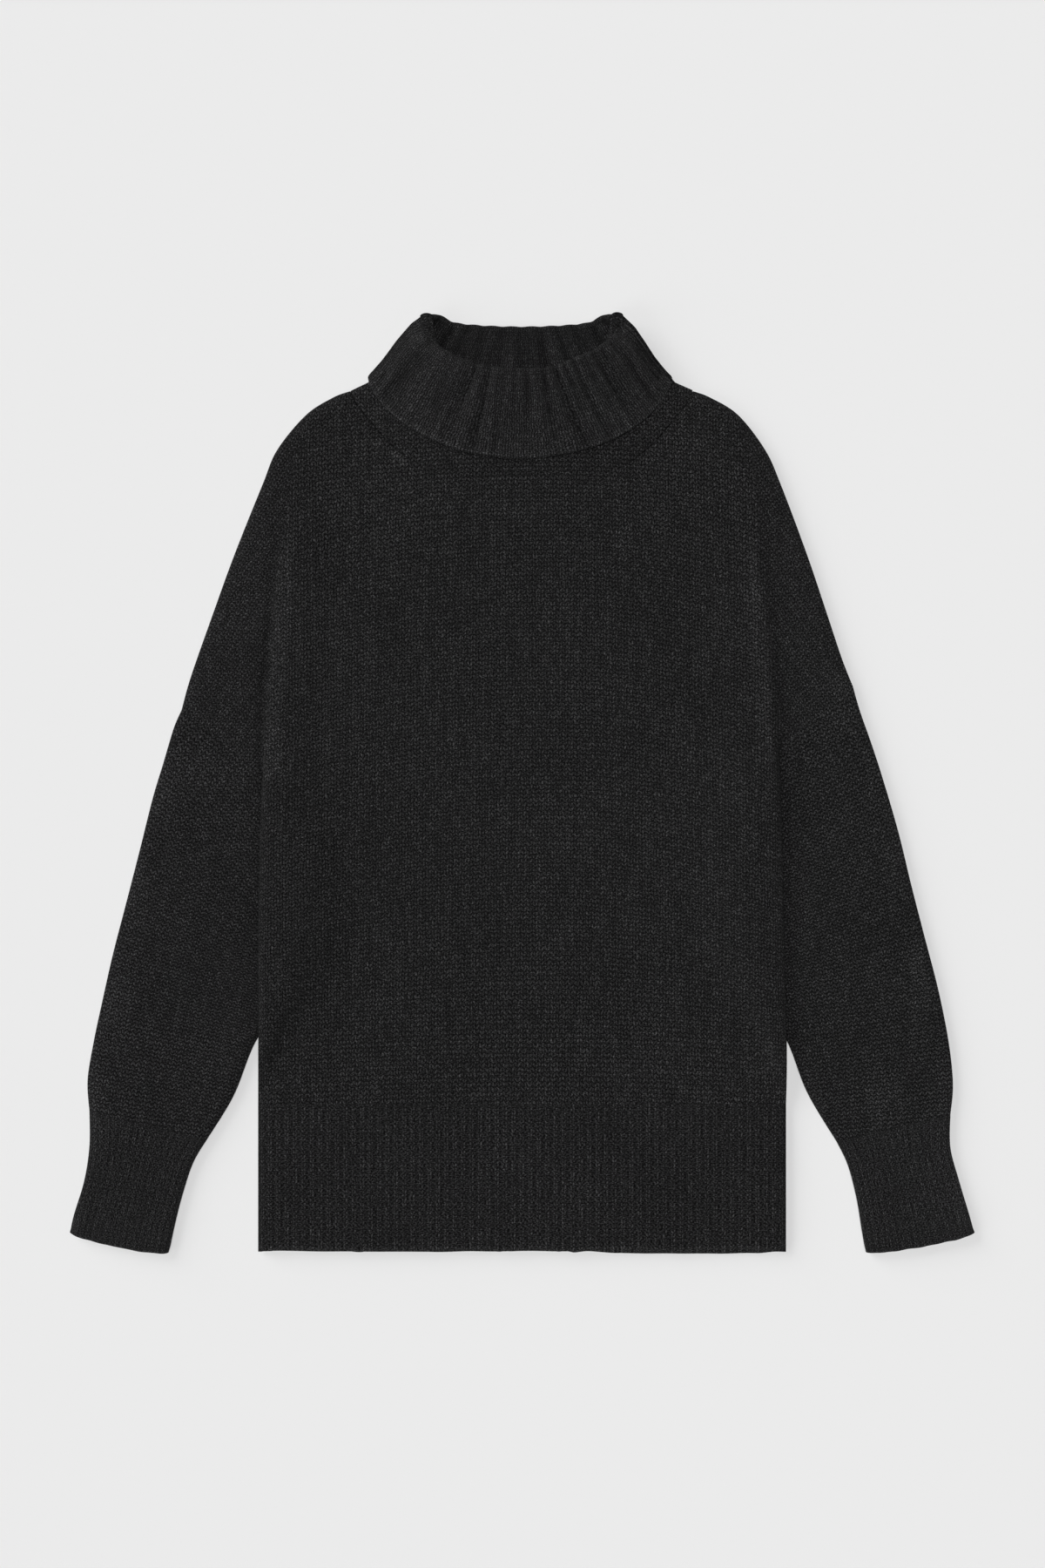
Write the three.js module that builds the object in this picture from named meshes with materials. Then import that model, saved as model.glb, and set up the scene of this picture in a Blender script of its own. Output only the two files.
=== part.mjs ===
// A turtleneck sweater lying flat on its back: a boxy body with dropped shoulders, long sleeves folded down
// beside it, ribbed hem and cuffs, and a wide ribbed collar turned down over itself.
// Millimetres. X runs across the chest, Y from the hem up to the collar and Z up from the surface it lies on.
// Outline sizes are measured from the middle of the front hem's lower edge.
import * as THREE from "three";

// The knit, and how its two layers lie on each other
const WALL = 2.8;
const SEAM_GAP = 0.3;
const HALF_HEIGHT = 4.4;
const EDGE_ROUND = 10;
const EDGE_TURNS = [0, 22.5, 45, 67.5, 90];
const RIB_DEPTH = 1.1;

// The hem rib
const HEM_TOP = 121.7;
const HEM_HALF_WIDTH = 218.5;
const HEM_RIBS = 60;
const HEM_EDGE_ROLL = 2.5;
const HEM_EDGE = { front: 0.5, back: -0.8 };

// The neck and the collar
const NECK_X = 0.7;
const NECK_HALF_WIDTH = 142;
const NECK_POINT_HEIGHT = 711.7;
const FRONT_COLLAR_RIBS = 16;
const BACK_COLLAR_RIBS = 12;
const STEPS_PER_COLLAR_RIB = 3;
const COLLAR_LAYER_GAP = 0.9;
const COLLAR_JOIN = 0.12;
const SHOULDER_CLEARANCE = 1.2;
// The neck band starts just clear of the neck seam, bends under the fall's edge at one part of the way up the
// collar, and ends just below the stand, between its two skins
const BAND = { inset: 0.5, clearance: 0.4, underPart: -0.04, endPart: 0.095, standDepth: 0.2 };
// How much closer together the ribs stand at the neck's two sides, and how square its front and back are seen from
// the edge
const RIBS_CROWDED = 0.4;
const FRONT_SQUARENESS = 2.5;
const BACK_SQUARENESS = 6;
// A sleeve or cuff starts this far past the seam before it
const TUBE_START = 0.35;

// The panels' side edges, from the hem seam to the armpit, to the shoulder tip on the armhole seam,
// and over the shoulder to the neck point
const SIDE_EDGES = {
  body: [
    { leftX: -217.4, leftY: 121.7, rightX: 219.6, rightY: 121.7 },
    { leftX: -216.7, leftY: 174, rightX: 219.6, rightY: 178 },
    { leftX: -216.7, leftY: 268, rightX: 217.4, rightY: 275 },
    { leftX: -215.3, leftY: 345, rightX: 215.5, rightY: 358 },
    { leftX: -213.8, leftY: 397.4, rightX: 213.8, rightY: 415.4 },
  ],
  armhole: [
    { leftX: -213.8, leftY: 397.4, rightX: 213.8, rightY: 415.4 },
    { leftX: -280.8, leftY: 447.8, rightX: 275, rightY: 467.3 },
  ],
  shoulder: [
    { leftX: -280.8, leftY: 447.8, rightX: 275, rightY: 467.3 },
    { leftX: -272.9, leftY: 475.9, rightX: 266, rightY: 490 },
    { leftX: -255.3, leftY: 526, rightX: 254, rightY: 526 },
    { leftX: -236.9, leftY: 576.7, rightX: 236.9, rightY: 576.7 },
    { leftX: -213.8, leftY: 634.3, rightX: 215.3, rightY: 634.3 },
    { leftX: -201.6, leftY: 663.1, rightX: 202.3, rightY: 663.1 },
    { leftX: -177.8, leftY: 691.9, rightX: 180, rightY: 691.9 },
    { leftX: -155.5, leftY: 706.3, rightX: 157, rightY: 706.3 },
    { leftX: -141.3, leftY: 711.7, rightX: 142.7, rightY: 711.7 },
  ],
};
// How far along each stretch the panel's sections stand, and how far each section's edges turn down round
const SIDE_STEPS = {
  body: { along: [0, 0.1, 0.2, 0.34, 0.5, 0.66, 0.78, 0.86, 0.93, 1], round: [1, 1, 1, 1, 1, 1, 1, 1, 1, 1] },
  armhole: { along: [0, 0.12, 0.5, 0.88, 1], round: [1, 0, 0, 0, 1] },
  shoulder: { along: [0, 0.12, 0.25, 0.38, 0.5, 0.62, 0.75, 0.87, 1], round: [1, 1, 1, 1, 1, 1, 1, 1, 1] },
};
// Where the columns of a panel stand between its rounded edges: close together beside them, for the folds there
const PANEL_COLUMNS = [
  0.015, 0.03, 0.05, 0.075, 0.11, 0.16, 0.235, 0.36, 0.5, 0.64, 0.765, 0.84, 0.89, 0.925, 0.95, 0.97, 0.985,
];

// The neck seam, as the drop below the neck point at each distance from the middle
const FRONT_NECK = [
  { across: 0, drop: 71.5 },
  { across: 30, drop: 71.3 },
  { across: 50, drop: 70.3 },
  { across: 65, drop: 68.3 },
  { across: 76, drop: 65.8 },
  { across: 85, drop: 62.5 },
  { across: 96, drop: 54.7 },
  { across: 110, drop: 43 },
  { across: 122, drop: 29 },
  { across: 136, drop: 12 },
  { across: 142, drop: 0 },
];
const BACK_NECK = [
  { across: 0, drop: 22 },
  { across: 60, drop: 22 },
  { across: 100, drop: 19 },
  { across: 125, drop: 11 },
  { across: 142, drop: 0 },
];

// Each sleeve's outer and inner edge, from the armhole to the cuff seam. Below the armpit the inner edge first
// lies along the body's side and then slips under it.
const SLEEVES = {
  left: [
    { outerX: -287.3, outerY: 432.7, innerX: -215, innerY: 381 },
    { outerX: -295.9, outerY: 403.9, innerX: -215.6, innerY: 363 },
    { outerX: -304.6, outerY: 375.1, innerX: -200, innerY: 345 },
    { outerX: -315.4, outerY: 331.9, innerX: -190, innerY: 312 },
    { outerX: -326.5, outerY: 288.7, innerX: -190, innerY: 270 },
    { outerX: -337.7, outerY: 245.5, innerX: -197, innerY: 236 },
    { outerX: -347.4, outerY: 202.3, innerX: -209, innerY: 194 },
    { outerX: -353.5, outerY: 173.5, innerX: -223.2, innerY: 165.6 },
    { outerX: -358.6, outerY: 141.8, innerX: -238, innerY: 128 },
    { outerX: -357.1, outerY: 115.9, innerX: -259.9, innerY: 92.2 },
  ],
  right: [
    { outerX: 280.8, outerY: 447.1, innerX: 215, innerY: 399 },
    { outerX: 290.9, outerY: 418.3, innerX: 215.7, innerY: 380 },
    { outerX: 300.2, outerY: 389.5, innerX: 202, innerY: 356 },
    { outerX: 312.8, outerY: 346.3, innerX: 192, innerY: 318 },
    { outerX: 323.3, outerY: 303.1, innerX: 192, innerY: 275 },
    { outerX: 334.4, outerY: 259.9, innerX: 199, innerY: 236 },
    { outerX: 345.6, outerY: 216.7, innerX: 211, innerY: 194 },
    { outerX: 354.2, outerY: 173.5, innerX: 223.5, innerY: 167 },
    { outerX: 357.8, outerY: 138.2, innerX: 237.6, innerY: 130.3 },
    { outerX: 355.7, outerY: 113, innerX: 261.4, innerY: 90.7 },
  ],
};
const CUFFS = {
  left: [
    { outerX: -357.1, outerY: 87.1, innerX: -271.4, innerY: 72.7 },
    { outerX: -361.4, outerY: 58.3, innerX: -280.8, innerY: 43.9 },
    { outerX: -370.1, outerY: 29.5, innerX: -286.9, innerY: 19.4 },
    { outerX: -373.3, outerY: 13.7, innerX: -291.6, innerY: -3.6 },
  ],
  right: [
    { outerX: 355.7, outerY: 85.7, innerX: 270.7, innerY: 71.3 },
    { outerX: 362.9, outerY: 58.3, innerX: 277.9, innerY: 43.9 },
    { outerX: 371.5, outerY: 29.5, innerX: 282.2, innerY: 18 },
    { outerX: 375.8, outerY: 13.7, innerX: 285.8, innerY: -2.9 },
  ],
};
const SLEEVE_COLUMNS = [0.2, 0.4, 0.6, 0.8];
const CUFF_RIBS = 13;

// The body lies over the sleeves from just below the armpits: its layers climb on to the sleeve over this way
const CLIMB = { height: 9.4, startsBefore: 26, endsBefore: 6, fadesOver: 31 };
// Above each armpit the body's front folds over the dropped shoulder, along this line
const SHOULDER_FOLDS = {
  left: [
    { x: -213.8, y: 390 },
    { x: -210, y: 460 },
    { x: -202, y: 560 },
    { x: -189, y: 650 },
  ],
  right: [
    { x: 213.8, y: 405 },
    { x: 211, y: 460 },
    { x: 204, y: 540 },
    { x: 192, y: 645 },
  ],
};
const SHOULDER_FOLD = { height: 4.5, stepFrom: -3, stepTo: 5, fadesFrom: 8, fadesTo: 55 };

// The collar's two ends: the fall's lower edge, and the rim it is turned down at.
// The back half lies on the surface and the front half stands up from it.
const FALL_EDGE = {
  halfWidth: 129, sideY: 720.7, frontDrop: 66.2, frontBow: 0.65, backDrop: 18, backBow: 0.5, top: 17.5,
};
const RIM = {
  halfWidth: 79, sideY: 775.4, frontDrop: 46, frontBow: 0.375, backDrop: 10, backBow: 0.5, top: 31,
};
const FALL_PARTS = [0, 0.35, 0.7, 0.95];
const STAND_PARTS = [0.95, 0.6];
const RIM_TURNS = [45, 90, 135];
// Deeper creases in the front of the fall: the rib they follow, how far down from the rim they reach, and how
// deep they are
const COLLAR_CREASES = [
  { rib: 1.4, reach: 0.65, depth: 0.9 },
  { rib: 2.5, reach: 0.5, depth: 0.9 },
  { rib: 5.4, reach: 0.75, depth: 1.6 },
  { rib: 6.5, reach: 0.5, depth: 1 },
  { rib: 10.4, reach: 0.75, depth: 1.6 },
  { rib: 11.5, reach: 0.5, depth: 1.1 },
];

const radians = THREE.MathUtils.degToRad;
const { lerp, smoothstep } = THREE.MathUtils;

// The value of one column of a table at a place in another, along straight lines between its rows.
function tableValue(table, from, at, to) {
  const rows = [...table].sort((a, b) => a[from] - b[from]);
  const next = rows.findIndex((row) => row[from] >= at);
  if (next === 0) return rows[0][to];
  if (next < 0) return rows[rows.length - 1][to];
  const before = rows[next - 1];
  const after = rows[next];
  return lerp(before[to], after[to], (at - before[from]) / (after[from] - before[from]));
}

// A closed surface through loops with equal numbers of points. The loops go all round and meet again, or else the
// first and last are filled, as a flat strip between the loop's two halves.
function loft(loops, allRound) {
  const size = loops[0].length;
  const positions = loops.flat().flatMap((p) => [p.x, p.y, p.z]);
  const triangles = [];
  const quad = (a, b, c, d) => triangles.push(a, b, c, a, c, d);
  const spans = allRound ? loops.length : loops.length - 1;
  for (let i = 0; i < spans; i++) {
    const here = i * size;
    const there = ((i + 1) % loops.length) * size;
    for (let k = 0; k < size; k++) {
      const next = (k + 1) % size;
      quad(here + k, here + next, there + next, there + k);
    }
  }
  if (!allRound) {
    const last = (loops.length - 1) * size;
    for (let k = 0; k < size / 2 - 1; k++) {
      quad(k, size - 1 - k, size - 2 - k, k + 1);
      quad(last + k, last + k + 1, last + size - 2 - k, last + size - 1 - k);
    }
  }
  const at = (i) => new THREE.Vector3().fromArray(positions, 3 * i);
  let volume = 0;
  for (let i = 0; i < triangles.length; i += 3) {
    volume += at(triangles[i]).dot(at(triangles[i + 1]).cross(at(triangles[i + 2])));
  }
  if (volume < 0) triangles.reverse();
  const geometry = new THREE.BufferGeometry();
  geometry.setAttribute("position", new THREE.Float32BufferAttribute(positions, 3));
  geometry.setIndex(triangles);
  geometry.computeVertexNormals();
  return geometry;
}

// The columns across a flat section: round the left edge, the given parts of the way between, and round the
// right edge.
function columnsAcross(parts, ribbed) {
  const left = EDGE_TURNS.map((turn) => ({ edge: "left", turn: radians(turn), valley: 0 }));
  const middle = parts.map((part, i) => ({ part, valley: ribbed && i % 2 === 0 ? RIB_DEPTH : 0 }));
  const right = [...left].reverse().map((column) => ({ ...column, edge: "right" }));
  return [...left, ...middle, ...right];
}

// Evenly spaced parts of the way across for a number of ribs: a valley, a crest and so on to a last valley.
function ribParts(ribs) {
  return Array.from({ length: 2 * ribs - 1 }, (_, i) => (i + 1) / (2 * ribs));
}

// Where a column stands in a section, at a depth below the cloth's outer skin, and how far up it has turned there.
function placeInSection(section, column, depth) {
  const leftStart = section.left.clone().addScaledVector(section.leftIn, EDGE_ROUND);
  const rightStart = section.right.clone().addScaledVector(section.rightIn, EDGE_ROUND);
  if (!column.edge) {
    const point = leftStart.lerp(rightStart, column.part);
    if (section.sag) point.y -= section.sag(column.part);
    return { point, rise: 1 };
  }
  const atSeam = EDGE_ROUND * (1 - Math.cos(column.turn));
  const atFold = EDGE_ROUND - (EDGE_ROUND - depth) * Math.cos(column.turn);
  const inward = lerp(atSeam, atFold, section.round);
  const edge = column.edge === "left" ? section.left : section.right;
  const direction = column.edge === "left" ? section.leftIn : section.rightIn;
  const point = edge.clone().addScaledVector(direction, inward);
  return { point, rise: lerp(1, Math.sin(column.turn), section.round) };
}

// How far the body's layers climb over a sleeve at a place, and for the front also over the dropped shoulder.
function climbAt(x, y) {
  const side = x < 0 ? "left" : "right";
  const outward = x < 0 ? -1 : 1;
  const armpit = x < 0 ? SIDE_EDGES.armhole[0].leftY : SIDE_EDGES.armhole[0].rightY;
  const overSleeve = outward * (x - tableValue(SLEEVES[side], "innerY", y, "innerX"));
  const below = smoothstep(armpit - y, 0, CLIMB.fadesOver);
  return CLIMB.height * below * smoothstep(overSleeve, -CLIMB.startsBefore, -CLIMB.endsBefore);
}

function shoulderFoldAt(x, y) {
  const side = x < 0 ? "left" : "right";
  const line = SHOULDER_FOLDS[side];
  const first = line[0].y;
  const last = line[line.length - 1].y;
  const inside = Math.abs(tableValue(line, "y", y, "x")) - Math.abs(x);
  const up = smoothstep(inside, SHOULDER_FOLD.stepFrom, SHOULDER_FOLD.stepTo);
  const down = 1 - smoothstep(inside, SHOULDER_FOLD.fadesFrom, SHOULDER_FOLD.fadesTo);
  const along = smoothstep(y, first - CLIMB.fadesOver, first) * (1 - smoothstep(y, first, last));
  return SHOULDER_FOLD.height * up * down * along;
}

// A strip of cloth, the upper or lower of two layers, through flat sections.
function layer(sections, columns, upper, heightAt) {
  const sign = upper ? 1 : -1;
  const halfGap = SEAM_GAP / 2;
  const loops = sections.map((section) => {
    const skin = (column, depth, valley) => {
      const { point, rise } = placeInSection(section, column, depth);
      const out = halfGap + (HALF_HEIGHT - halfGap - depth - valley) * rise;
      return new THREE.Vector3(point.x, point.y, HALF_HEIGHT + sign * out + heightAt(point.x, point.y));
    };
    const outer = columns.map((column) => skin(column, 0, section.roll ?? column.valley));
    const inner = columns.map((column) => skin(column, WALL, 0));
    return [...outer, ...inner.reverse()];
  });
  return loft(loops, false);
}

// The sections of a body panel: level at the hem, and sagging more and more in the middle up to the neck seam.
function panelSections(neck) {
  const sections = [];
  for (const [name, steps] of Object.entries(SIDE_STEPS)) {
    const rows = SIDE_EDGES[name];
    const left = new THREE.SplineCurve(rows.map((row) => new THREE.Vector2(row.leftX, row.leftY)));
    const right = new THREE.SplineCurve(rows.map((row) => new THREE.Vector2(row.rightX, row.rightY)));
    steps.along.forEach((along, i) => {
      if (i === 0 && name !== "body") return;
      const leftTangent = left.getTangent(Math.min(along, 0.999));
      const rightTangent = right.getTangent(Math.min(along, 0.999));
      const level = name === "armhole" || along === 0;
      sections.push({
        stretch: name,
        left: left.getPoint(along),
        right: right.getPoint(along),
        leftIn: level ? new THREE.Vector2(1, 0) : new THREE.Vector2(leftTangent.y, -leftTangent.x),
        rightIn: level ? new THREE.Vector2(-1, 0) : new THREE.Vector2(-rightTangent.y, rightTangent.x),
        round: steps.round[i],
      });
    });
  }
  const top = sections[sections.length - 1];
  const neckDrop = (x) => tableValue(neck, "across", Math.abs(x - NECK_X), "drop");
  const [beside, point] = neck.slice(-2);
  top.leftIn = new THREE.Vector2(point.across - beside.across, point.drop - beside.drop).normalize();
  top.rightIn = new THREE.Vector2(-top.leftIn.x, top.leftIn.y);
  const topSag = (part) => {
    const start = top.left.clone().addScaledVector(top.leftIn, EDGE_ROUND);
    const end = top.right.clone().addScaledVector(top.rightIn, EDGE_ROUND);
    const level = lerp(start.y, end.y, part);
    return level - (NECK_POINT_HEIGHT - neckDrop(lerp(start.x, end.x, part)));
  };
  const upper = sections.filter((section) => section.stretch !== "body");
  const armpit = (upper[0].left.y + upper[0].right.y) / 2;
  const neckMiddle = NECK_POINT_HEIGHT - neckDrop(NECK_X);
  upper.forEach((section, i) => {
    const middle = lerp(armpit, neckMiddle, i / (upper.length - 1));
    const share = i === upper.length - 1 ? 1 : ((section.left.y + section.right.y) / 2 - middle) / topSag(0.5);
    section.sag = (part) => share * topSag(part);
  });
  return sections;
}

// The neck seam as a panel's top edge has it, from column to column.
function neckLine(neck) {
  const top = panelSections(neck).pop();
  return columnsAcross(PANEL_COLUMNS, false).map((column) => placeInSection(top, column, 0).point);
}

function frontPanel() {
  const heightAt = (x, y) => climbAt(x, y) + shoulderFoldAt(x, y);
  return layer(panelSections(FRONT_NECK), columnsAcross(PANEL_COLUMNS, false), true, heightAt);
}

function backPanel() {
  return layer(panelSections(BACK_NECK), columnsAcross(PANEL_COLUMNS, false), false, climbAt);
}

// A hem rib: level sections from just below the hem seam down to the rolled lower edge.
function hem(upper) {
  const lowerEdge = upper ? HEM_EDGE.front : HEM_EDGE.back;
  const heights = [lowerEdge, lowerEdge + HEM_EDGE_ROLL, HEM_TOP - SEAM_GAP];
  const centre = (SIDE_EDGES.body[0].leftX + SIDE_EDGES.body[0].rightX) / 2;
  const sections = heights.map((y, i) => ({
    left: new THREE.Vector2(centre - HEM_HALF_WIDTH, y),
    right: new THREE.Vector2(centre + HEM_HALF_WIDTH, y),
    leftIn: new THREE.Vector2(1, 0),
    rightIn: new THREE.Vector2(-1, 0),
    round: 1,
    roll: i === 0 ? RIB_DEPTH : undefined,
  }));
  const columns = upper ? columnsAcross(ribParts(HEM_RIBS), true) : columnsAcross(SLEEVE_COLUMNS, false);
  return layer(sections, columns, upper, () => 0);
}

// A flattened tube through sections, ribbed on its upper side where it is given ribs.
function flatTube(sections, ribs) {
  const upper = columnsAcross(ribs ? ribParts(ribs) : SLEEVE_COLUMNS, Boolean(ribs));
  const lower = columnsAcross(SLEEVE_COLUMNS, false).reverse().slice(1, -1);
  const column = (entry, sign) => {
    const skin = (section, depth) => {
      const { point, rise } = placeInSection(section, entry, depth);
      const valley = depth ? 0 : entry.valley;
      return new THREE.Vector3(point.x, point.y, HALF_HEIGHT + sign * (HALF_HEIGHT - depth - valley) * rise);
    };
    const outer = sections.map((section) => skin(section, 0));
    const inner = sections.map((section) => skin(section, WALL));
    return [...outer, ...inner.reverse()];
  };
  return loft([...upper.map((entry) => column(entry, 1)), ...lower.map((entry) => column(entry, -1))], true);
}

function tubeSection(outer, inner) {
  const across = inner.clone().sub(outer).normalize();
  return { left: outer, right: inner, leftIn: across, rightIn: across.clone().negate(), round: 1 };
}

// Sections through a table of outer and inner edges, with the first one set just past the seam before it.
function tubeSections(firstOuter, firstInner, table) {
  const outers = [firstOuter, ...table.map((row) => new THREE.Vector2(row.outerX, row.outerY))];
  const inners = [firstInner, ...table.map((row) => new THREE.Vector2(row.innerX, row.innerY))];
  const seam = firstInner.clone().sub(firstOuter).normalize();
  const past = new THREE.Vector2(-seam.y, seam.x);
  if (past.y > 0) past.negate();
  outers[0] = firstOuter.clone().addScaledVector(past, TUBE_START);
  inners[0] = firstInner.clone().addScaledVector(past, TUBE_START);
  return outers.map((outer, i) => tubeSection(outer, inners[i]));
}

function sleeve(side) {
  const [armpit, tip] = SIDE_EDGES.armhole;
  const outer = new THREE.Vector2(tip[side + "X"], tip[side + "Y"]);
  const inner = new THREE.Vector2(armpit[side + "X"], armpit[side + "Y"]);
  return flatTube(tubeSections(outer, inner, SLEEVES[side]), 0);
}

function cuff(side) {
  const seam = SLEEVES[side][SLEEVES[side].length - 1];
  const outer = new THREE.Vector2(seam.outerX, seam.outerY);
  const inner = new THREE.Vector2(seam.innerX, seam.innerY);
  return flatTube(tubeSections(outer, inner, CUFFS[side]), CUFF_RIBS);
}

// The places round the collar: first the front ribs from right to left, then the back ribs from left to right.
function placesRound() {
  const places = [];
  const halves = [
    { ribs: FRONT_COLLAR_RIBS, front: true },
    { ribs: BACK_COLLAR_RIBS, front: false },
  ];
  for (const { ribs, front } of halves) {
    const steps = ribs * STEPS_PER_COLLAR_RIB;
    for (let i = 0; i < steps; i++) {
      const part = i / steps;
      const even = lerp(1 - 2 * part, Math.cos(Math.PI * part), RIBS_CROWDED);
      places.push({
        front,
        across: front ? even : -even,
        valley: i % STEPS_PER_COLLAR_RIB === 0 ? RIB_DEPTH : 0,
        rib: i / STEPS_PER_COLLAR_RIB,
      });
    }
  }
  return places;
}

// A point of the collar: part of the way from the fall's lower edge to the rim, at a depth below the fall's outer
// skin. The layers are ovals inside each other.
function collarPoint(place, part, depth) {
  const bow = 1 - place.across ** 2;
  const edgeY = (end) =>
    end.sideY - (place.front ? end.frontDrop * bow ** end.frontBow : end.backDrop * bow ** end.backBow);
  const halfWidth = lerp(FALL_EDGE.halfWidth, RIM.halfWidth, part) - depth;
  const top = lerp(FALL_EDGE.top, RIM.top, part) - depth;
  const middle = (top + depth) / 2;
  const z = place.front
    ? middle + (top - middle) * Math.sqrt(1 - Math.abs(place.across) ** FRONT_SQUARENESS)
    : middle - (middle - depth) * Math.sqrt(1 - Math.abs(place.across) ** BACK_SQUARENESS);
  return new THREE.Vector3(NECK_X + halfWidth * place.across, lerp(edgeY(FALL_EDGE), edgeY(RIM), part), z);
}

function creaseDepth(place, part) {
  if (!place.front) return 0;
  const depths = COLLAR_CREASES.map((crease) => {
    const beside = Math.exp(-((place.rib - crease.rib) ** 2) * 4);
    return crease.depth * beside * smoothstep(part, 1 - crease.reach, 1 - crease.reach / 2) * (1 - part ** 4);
  });
  return depths.reduce((sum, depth) => sum + depth, 0);
}

// The fall outside and the stand inside, turned over at the rim: one closed profile at each place round.
function collar() {
  const standOuter = WALL + COLLAR_LAYER_GAP;
  const standInner = standOuter + WALL;
  const rimRadius = standInner / 2;
  const lastPart = FALL_PARTS[FALL_PARTS.length - 1];
  const overRim = (place, radius, turn) => {
    const point = collarPoint(place, lastPart, rimRadius - radius * Math.cos(turn));
    point.y += radius * Math.sin(turn);
    return point;
  };
  const loops = placesRound().map((place) => {
    const fallValley = place.front ? place.valley : 0;
    const turns = RIM_TURNS.map((turn) => radians(turn));
    return [
      ...FALL_PARTS.map((part) => collarPoint(place, part, fallValley + creaseDepth(place, part))),
      ...turns.map((turn) => overRim(place, rimRadius - place.valley, turn)),
      ...STAND_PARTS.map((part) => collarPoint(place, part, standInner - place.valley)),
      collarPoint(place, COLLAR_JOIN, standInner),
      collarPoint(place, COLLAR_JOIN, standOuter),
      ...[...STAND_PARTS].reverse().map((part) => collarPoint(place, part, standOuter)),
      overRim(place, rimRadius - WALL, Math.PI / 2),
      ...[...FALL_PARTS].reverse().map((part) => collarPoint(place, part, WALL + creaseDepth(place, part) / 4)),
    ];
  });
  return loft(loops, true);
}

// The plain ring between the neck seam and the collar's stand.
function neckBand() {
  const outerDepth = WALL + COLLAR_LAYER_GAP;
  const frontLine = neckLine(FRONT_NECK);
  const backLine = neckLine(BACK_NECK);
  const seamPoint = (place, depth) => {
    const x = (NECK_HALF_WIDTH - BAND.inset) * place.across;
    const line = place.front ? frontLine : backLine;
    const fromSide = Math.min(1, (1 - Math.abs(place.across)) * NECK_HALF_WIDTH / EDGE_ROUND * 2);
    const rise = Math.sqrt(1 - (1 - fromSide) ** 2);
    const clear = BAND.clearance + SHOULDER_CLEARANCE * (1 - rise);
    const y = tableValue(line, "x", NECK_X + x, "y") + clear;
    const out = (HALF_HEIGHT - depth) * rise;
    const inset = depth * Math.sign(place.across) * (1 - rise);
    return new THREE.Vector3(NECK_X + x - inset, y, HALF_HEIGHT + (place.front ? out : -out));
  };
  const underFall = { part: BAND.underPart, depth: outerDepth + SEAM_GAP };
  const atStand = { part: BAND.endPart, depth: outerDepth + BAND.standDepth };
  const loops = placesRound().map((place) => [
    seamPoint(place, 0),
    collarPoint(place, underFall.part, underFall.depth),
    collarPoint(place, atStand.part, atStand.depth),
    collarPoint(place, atStand.part, atStand.depth + WALL),
    collarPoint(place, underFall.part, underFall.depth + WALL),
    seamPoint(place, WALL),
  ]);
  return loft(loops, true);
}

const laid = new THREE.Group();
function addPiece(name, geometry, colour) {
  const knit = new THREE.MeshStandardMaterial({ color: colour, roughness: 0.95, metalness: 0 });
  const piece = new THREE.Mesh(geometry, knit);
  piece.name = name;
  laid.add(piece);
}

const PLAIN_KNIT = 0x222224;
const RIB_KNIT = 0x262628;
addPiece("back", backPanel(), PLAIN_KNIT);
addPiece("front", frontPanel(), PLAIN_KNIT);
addPiece("hem_back", hem(false), RIB_KNIT);
addPiece("hem_front", hem(true), RIB_KNIT);
addPiece("sleeve_left", sleeve("left"), PLAIN_KNIT);
addPiece("sleeve_right", sleeve("right"), PLAIN_KNIT);
addPiece("cuff_left", cuff("left"), RIB_KNIT);
addPiece("cuff_right", cuff("right"), RIB_KNIT);
addPiece("neck_band", neckBand(), PLAIN_KNIT);
addPiece("collar", collar(), RIB_KNIT);

// The part's origin is under the middle of the whole sweater, on the surface.
const box = new THREE.Box3().setFromObject(laid);
const middle = box.getCenter(new THREE.Vector3());
laid.position.set(-middle.x, -middle.y, -box.min.z);

const sweater = new THREE.Group();
sweater.add(laid);
export default sweater;
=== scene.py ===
import math

import bmesh
import bpy
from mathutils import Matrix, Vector, noise


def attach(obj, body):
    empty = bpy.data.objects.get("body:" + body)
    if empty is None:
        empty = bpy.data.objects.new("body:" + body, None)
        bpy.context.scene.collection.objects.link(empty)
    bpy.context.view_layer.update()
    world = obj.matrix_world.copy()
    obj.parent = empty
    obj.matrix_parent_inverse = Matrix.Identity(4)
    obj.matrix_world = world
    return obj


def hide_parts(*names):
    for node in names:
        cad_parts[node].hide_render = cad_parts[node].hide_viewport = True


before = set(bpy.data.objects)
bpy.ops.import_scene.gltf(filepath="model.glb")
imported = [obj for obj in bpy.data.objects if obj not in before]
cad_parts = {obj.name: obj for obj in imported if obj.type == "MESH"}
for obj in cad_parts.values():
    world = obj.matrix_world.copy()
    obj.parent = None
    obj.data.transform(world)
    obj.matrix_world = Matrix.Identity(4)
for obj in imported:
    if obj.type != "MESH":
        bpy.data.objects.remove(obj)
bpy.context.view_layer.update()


# --------------------------------------------------------------------------------------------------
# Back panel. The under layer of the body, one piece of plain knit in a charcoal melange wool yarn,
# knitted to shape and linked to the front along the sides and over the shoulders. The whole sweater
# lies on it.
# --------------------------------------------------------------------------------------------------

MM = 0.001
# Outlines are measured across from the body's middle and up from the hem's edge. The part's own origin
# is here in them.
ORIGIN = Vector((1.25, 385.6, 0.0))
# The knit's wall, and the room it is given beside its own thickness
WALL, WALL_SPARE = 2.6, 0.2
# Half the flat body's height, half the gap between its two layers, and the room below it
HALF_HEIGHT, HALF_GAP, ABOVE_FLOOR = 4.4, 0.15, 0.1
SEAM_GAP = 0.05
# How far in from a side edge it is rounded, and in how many steps of the mesh
EDGE_ROUND, EDGE_STEPS = 10.0, 10
WALE, ROW = 4.9, 3.6
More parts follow.
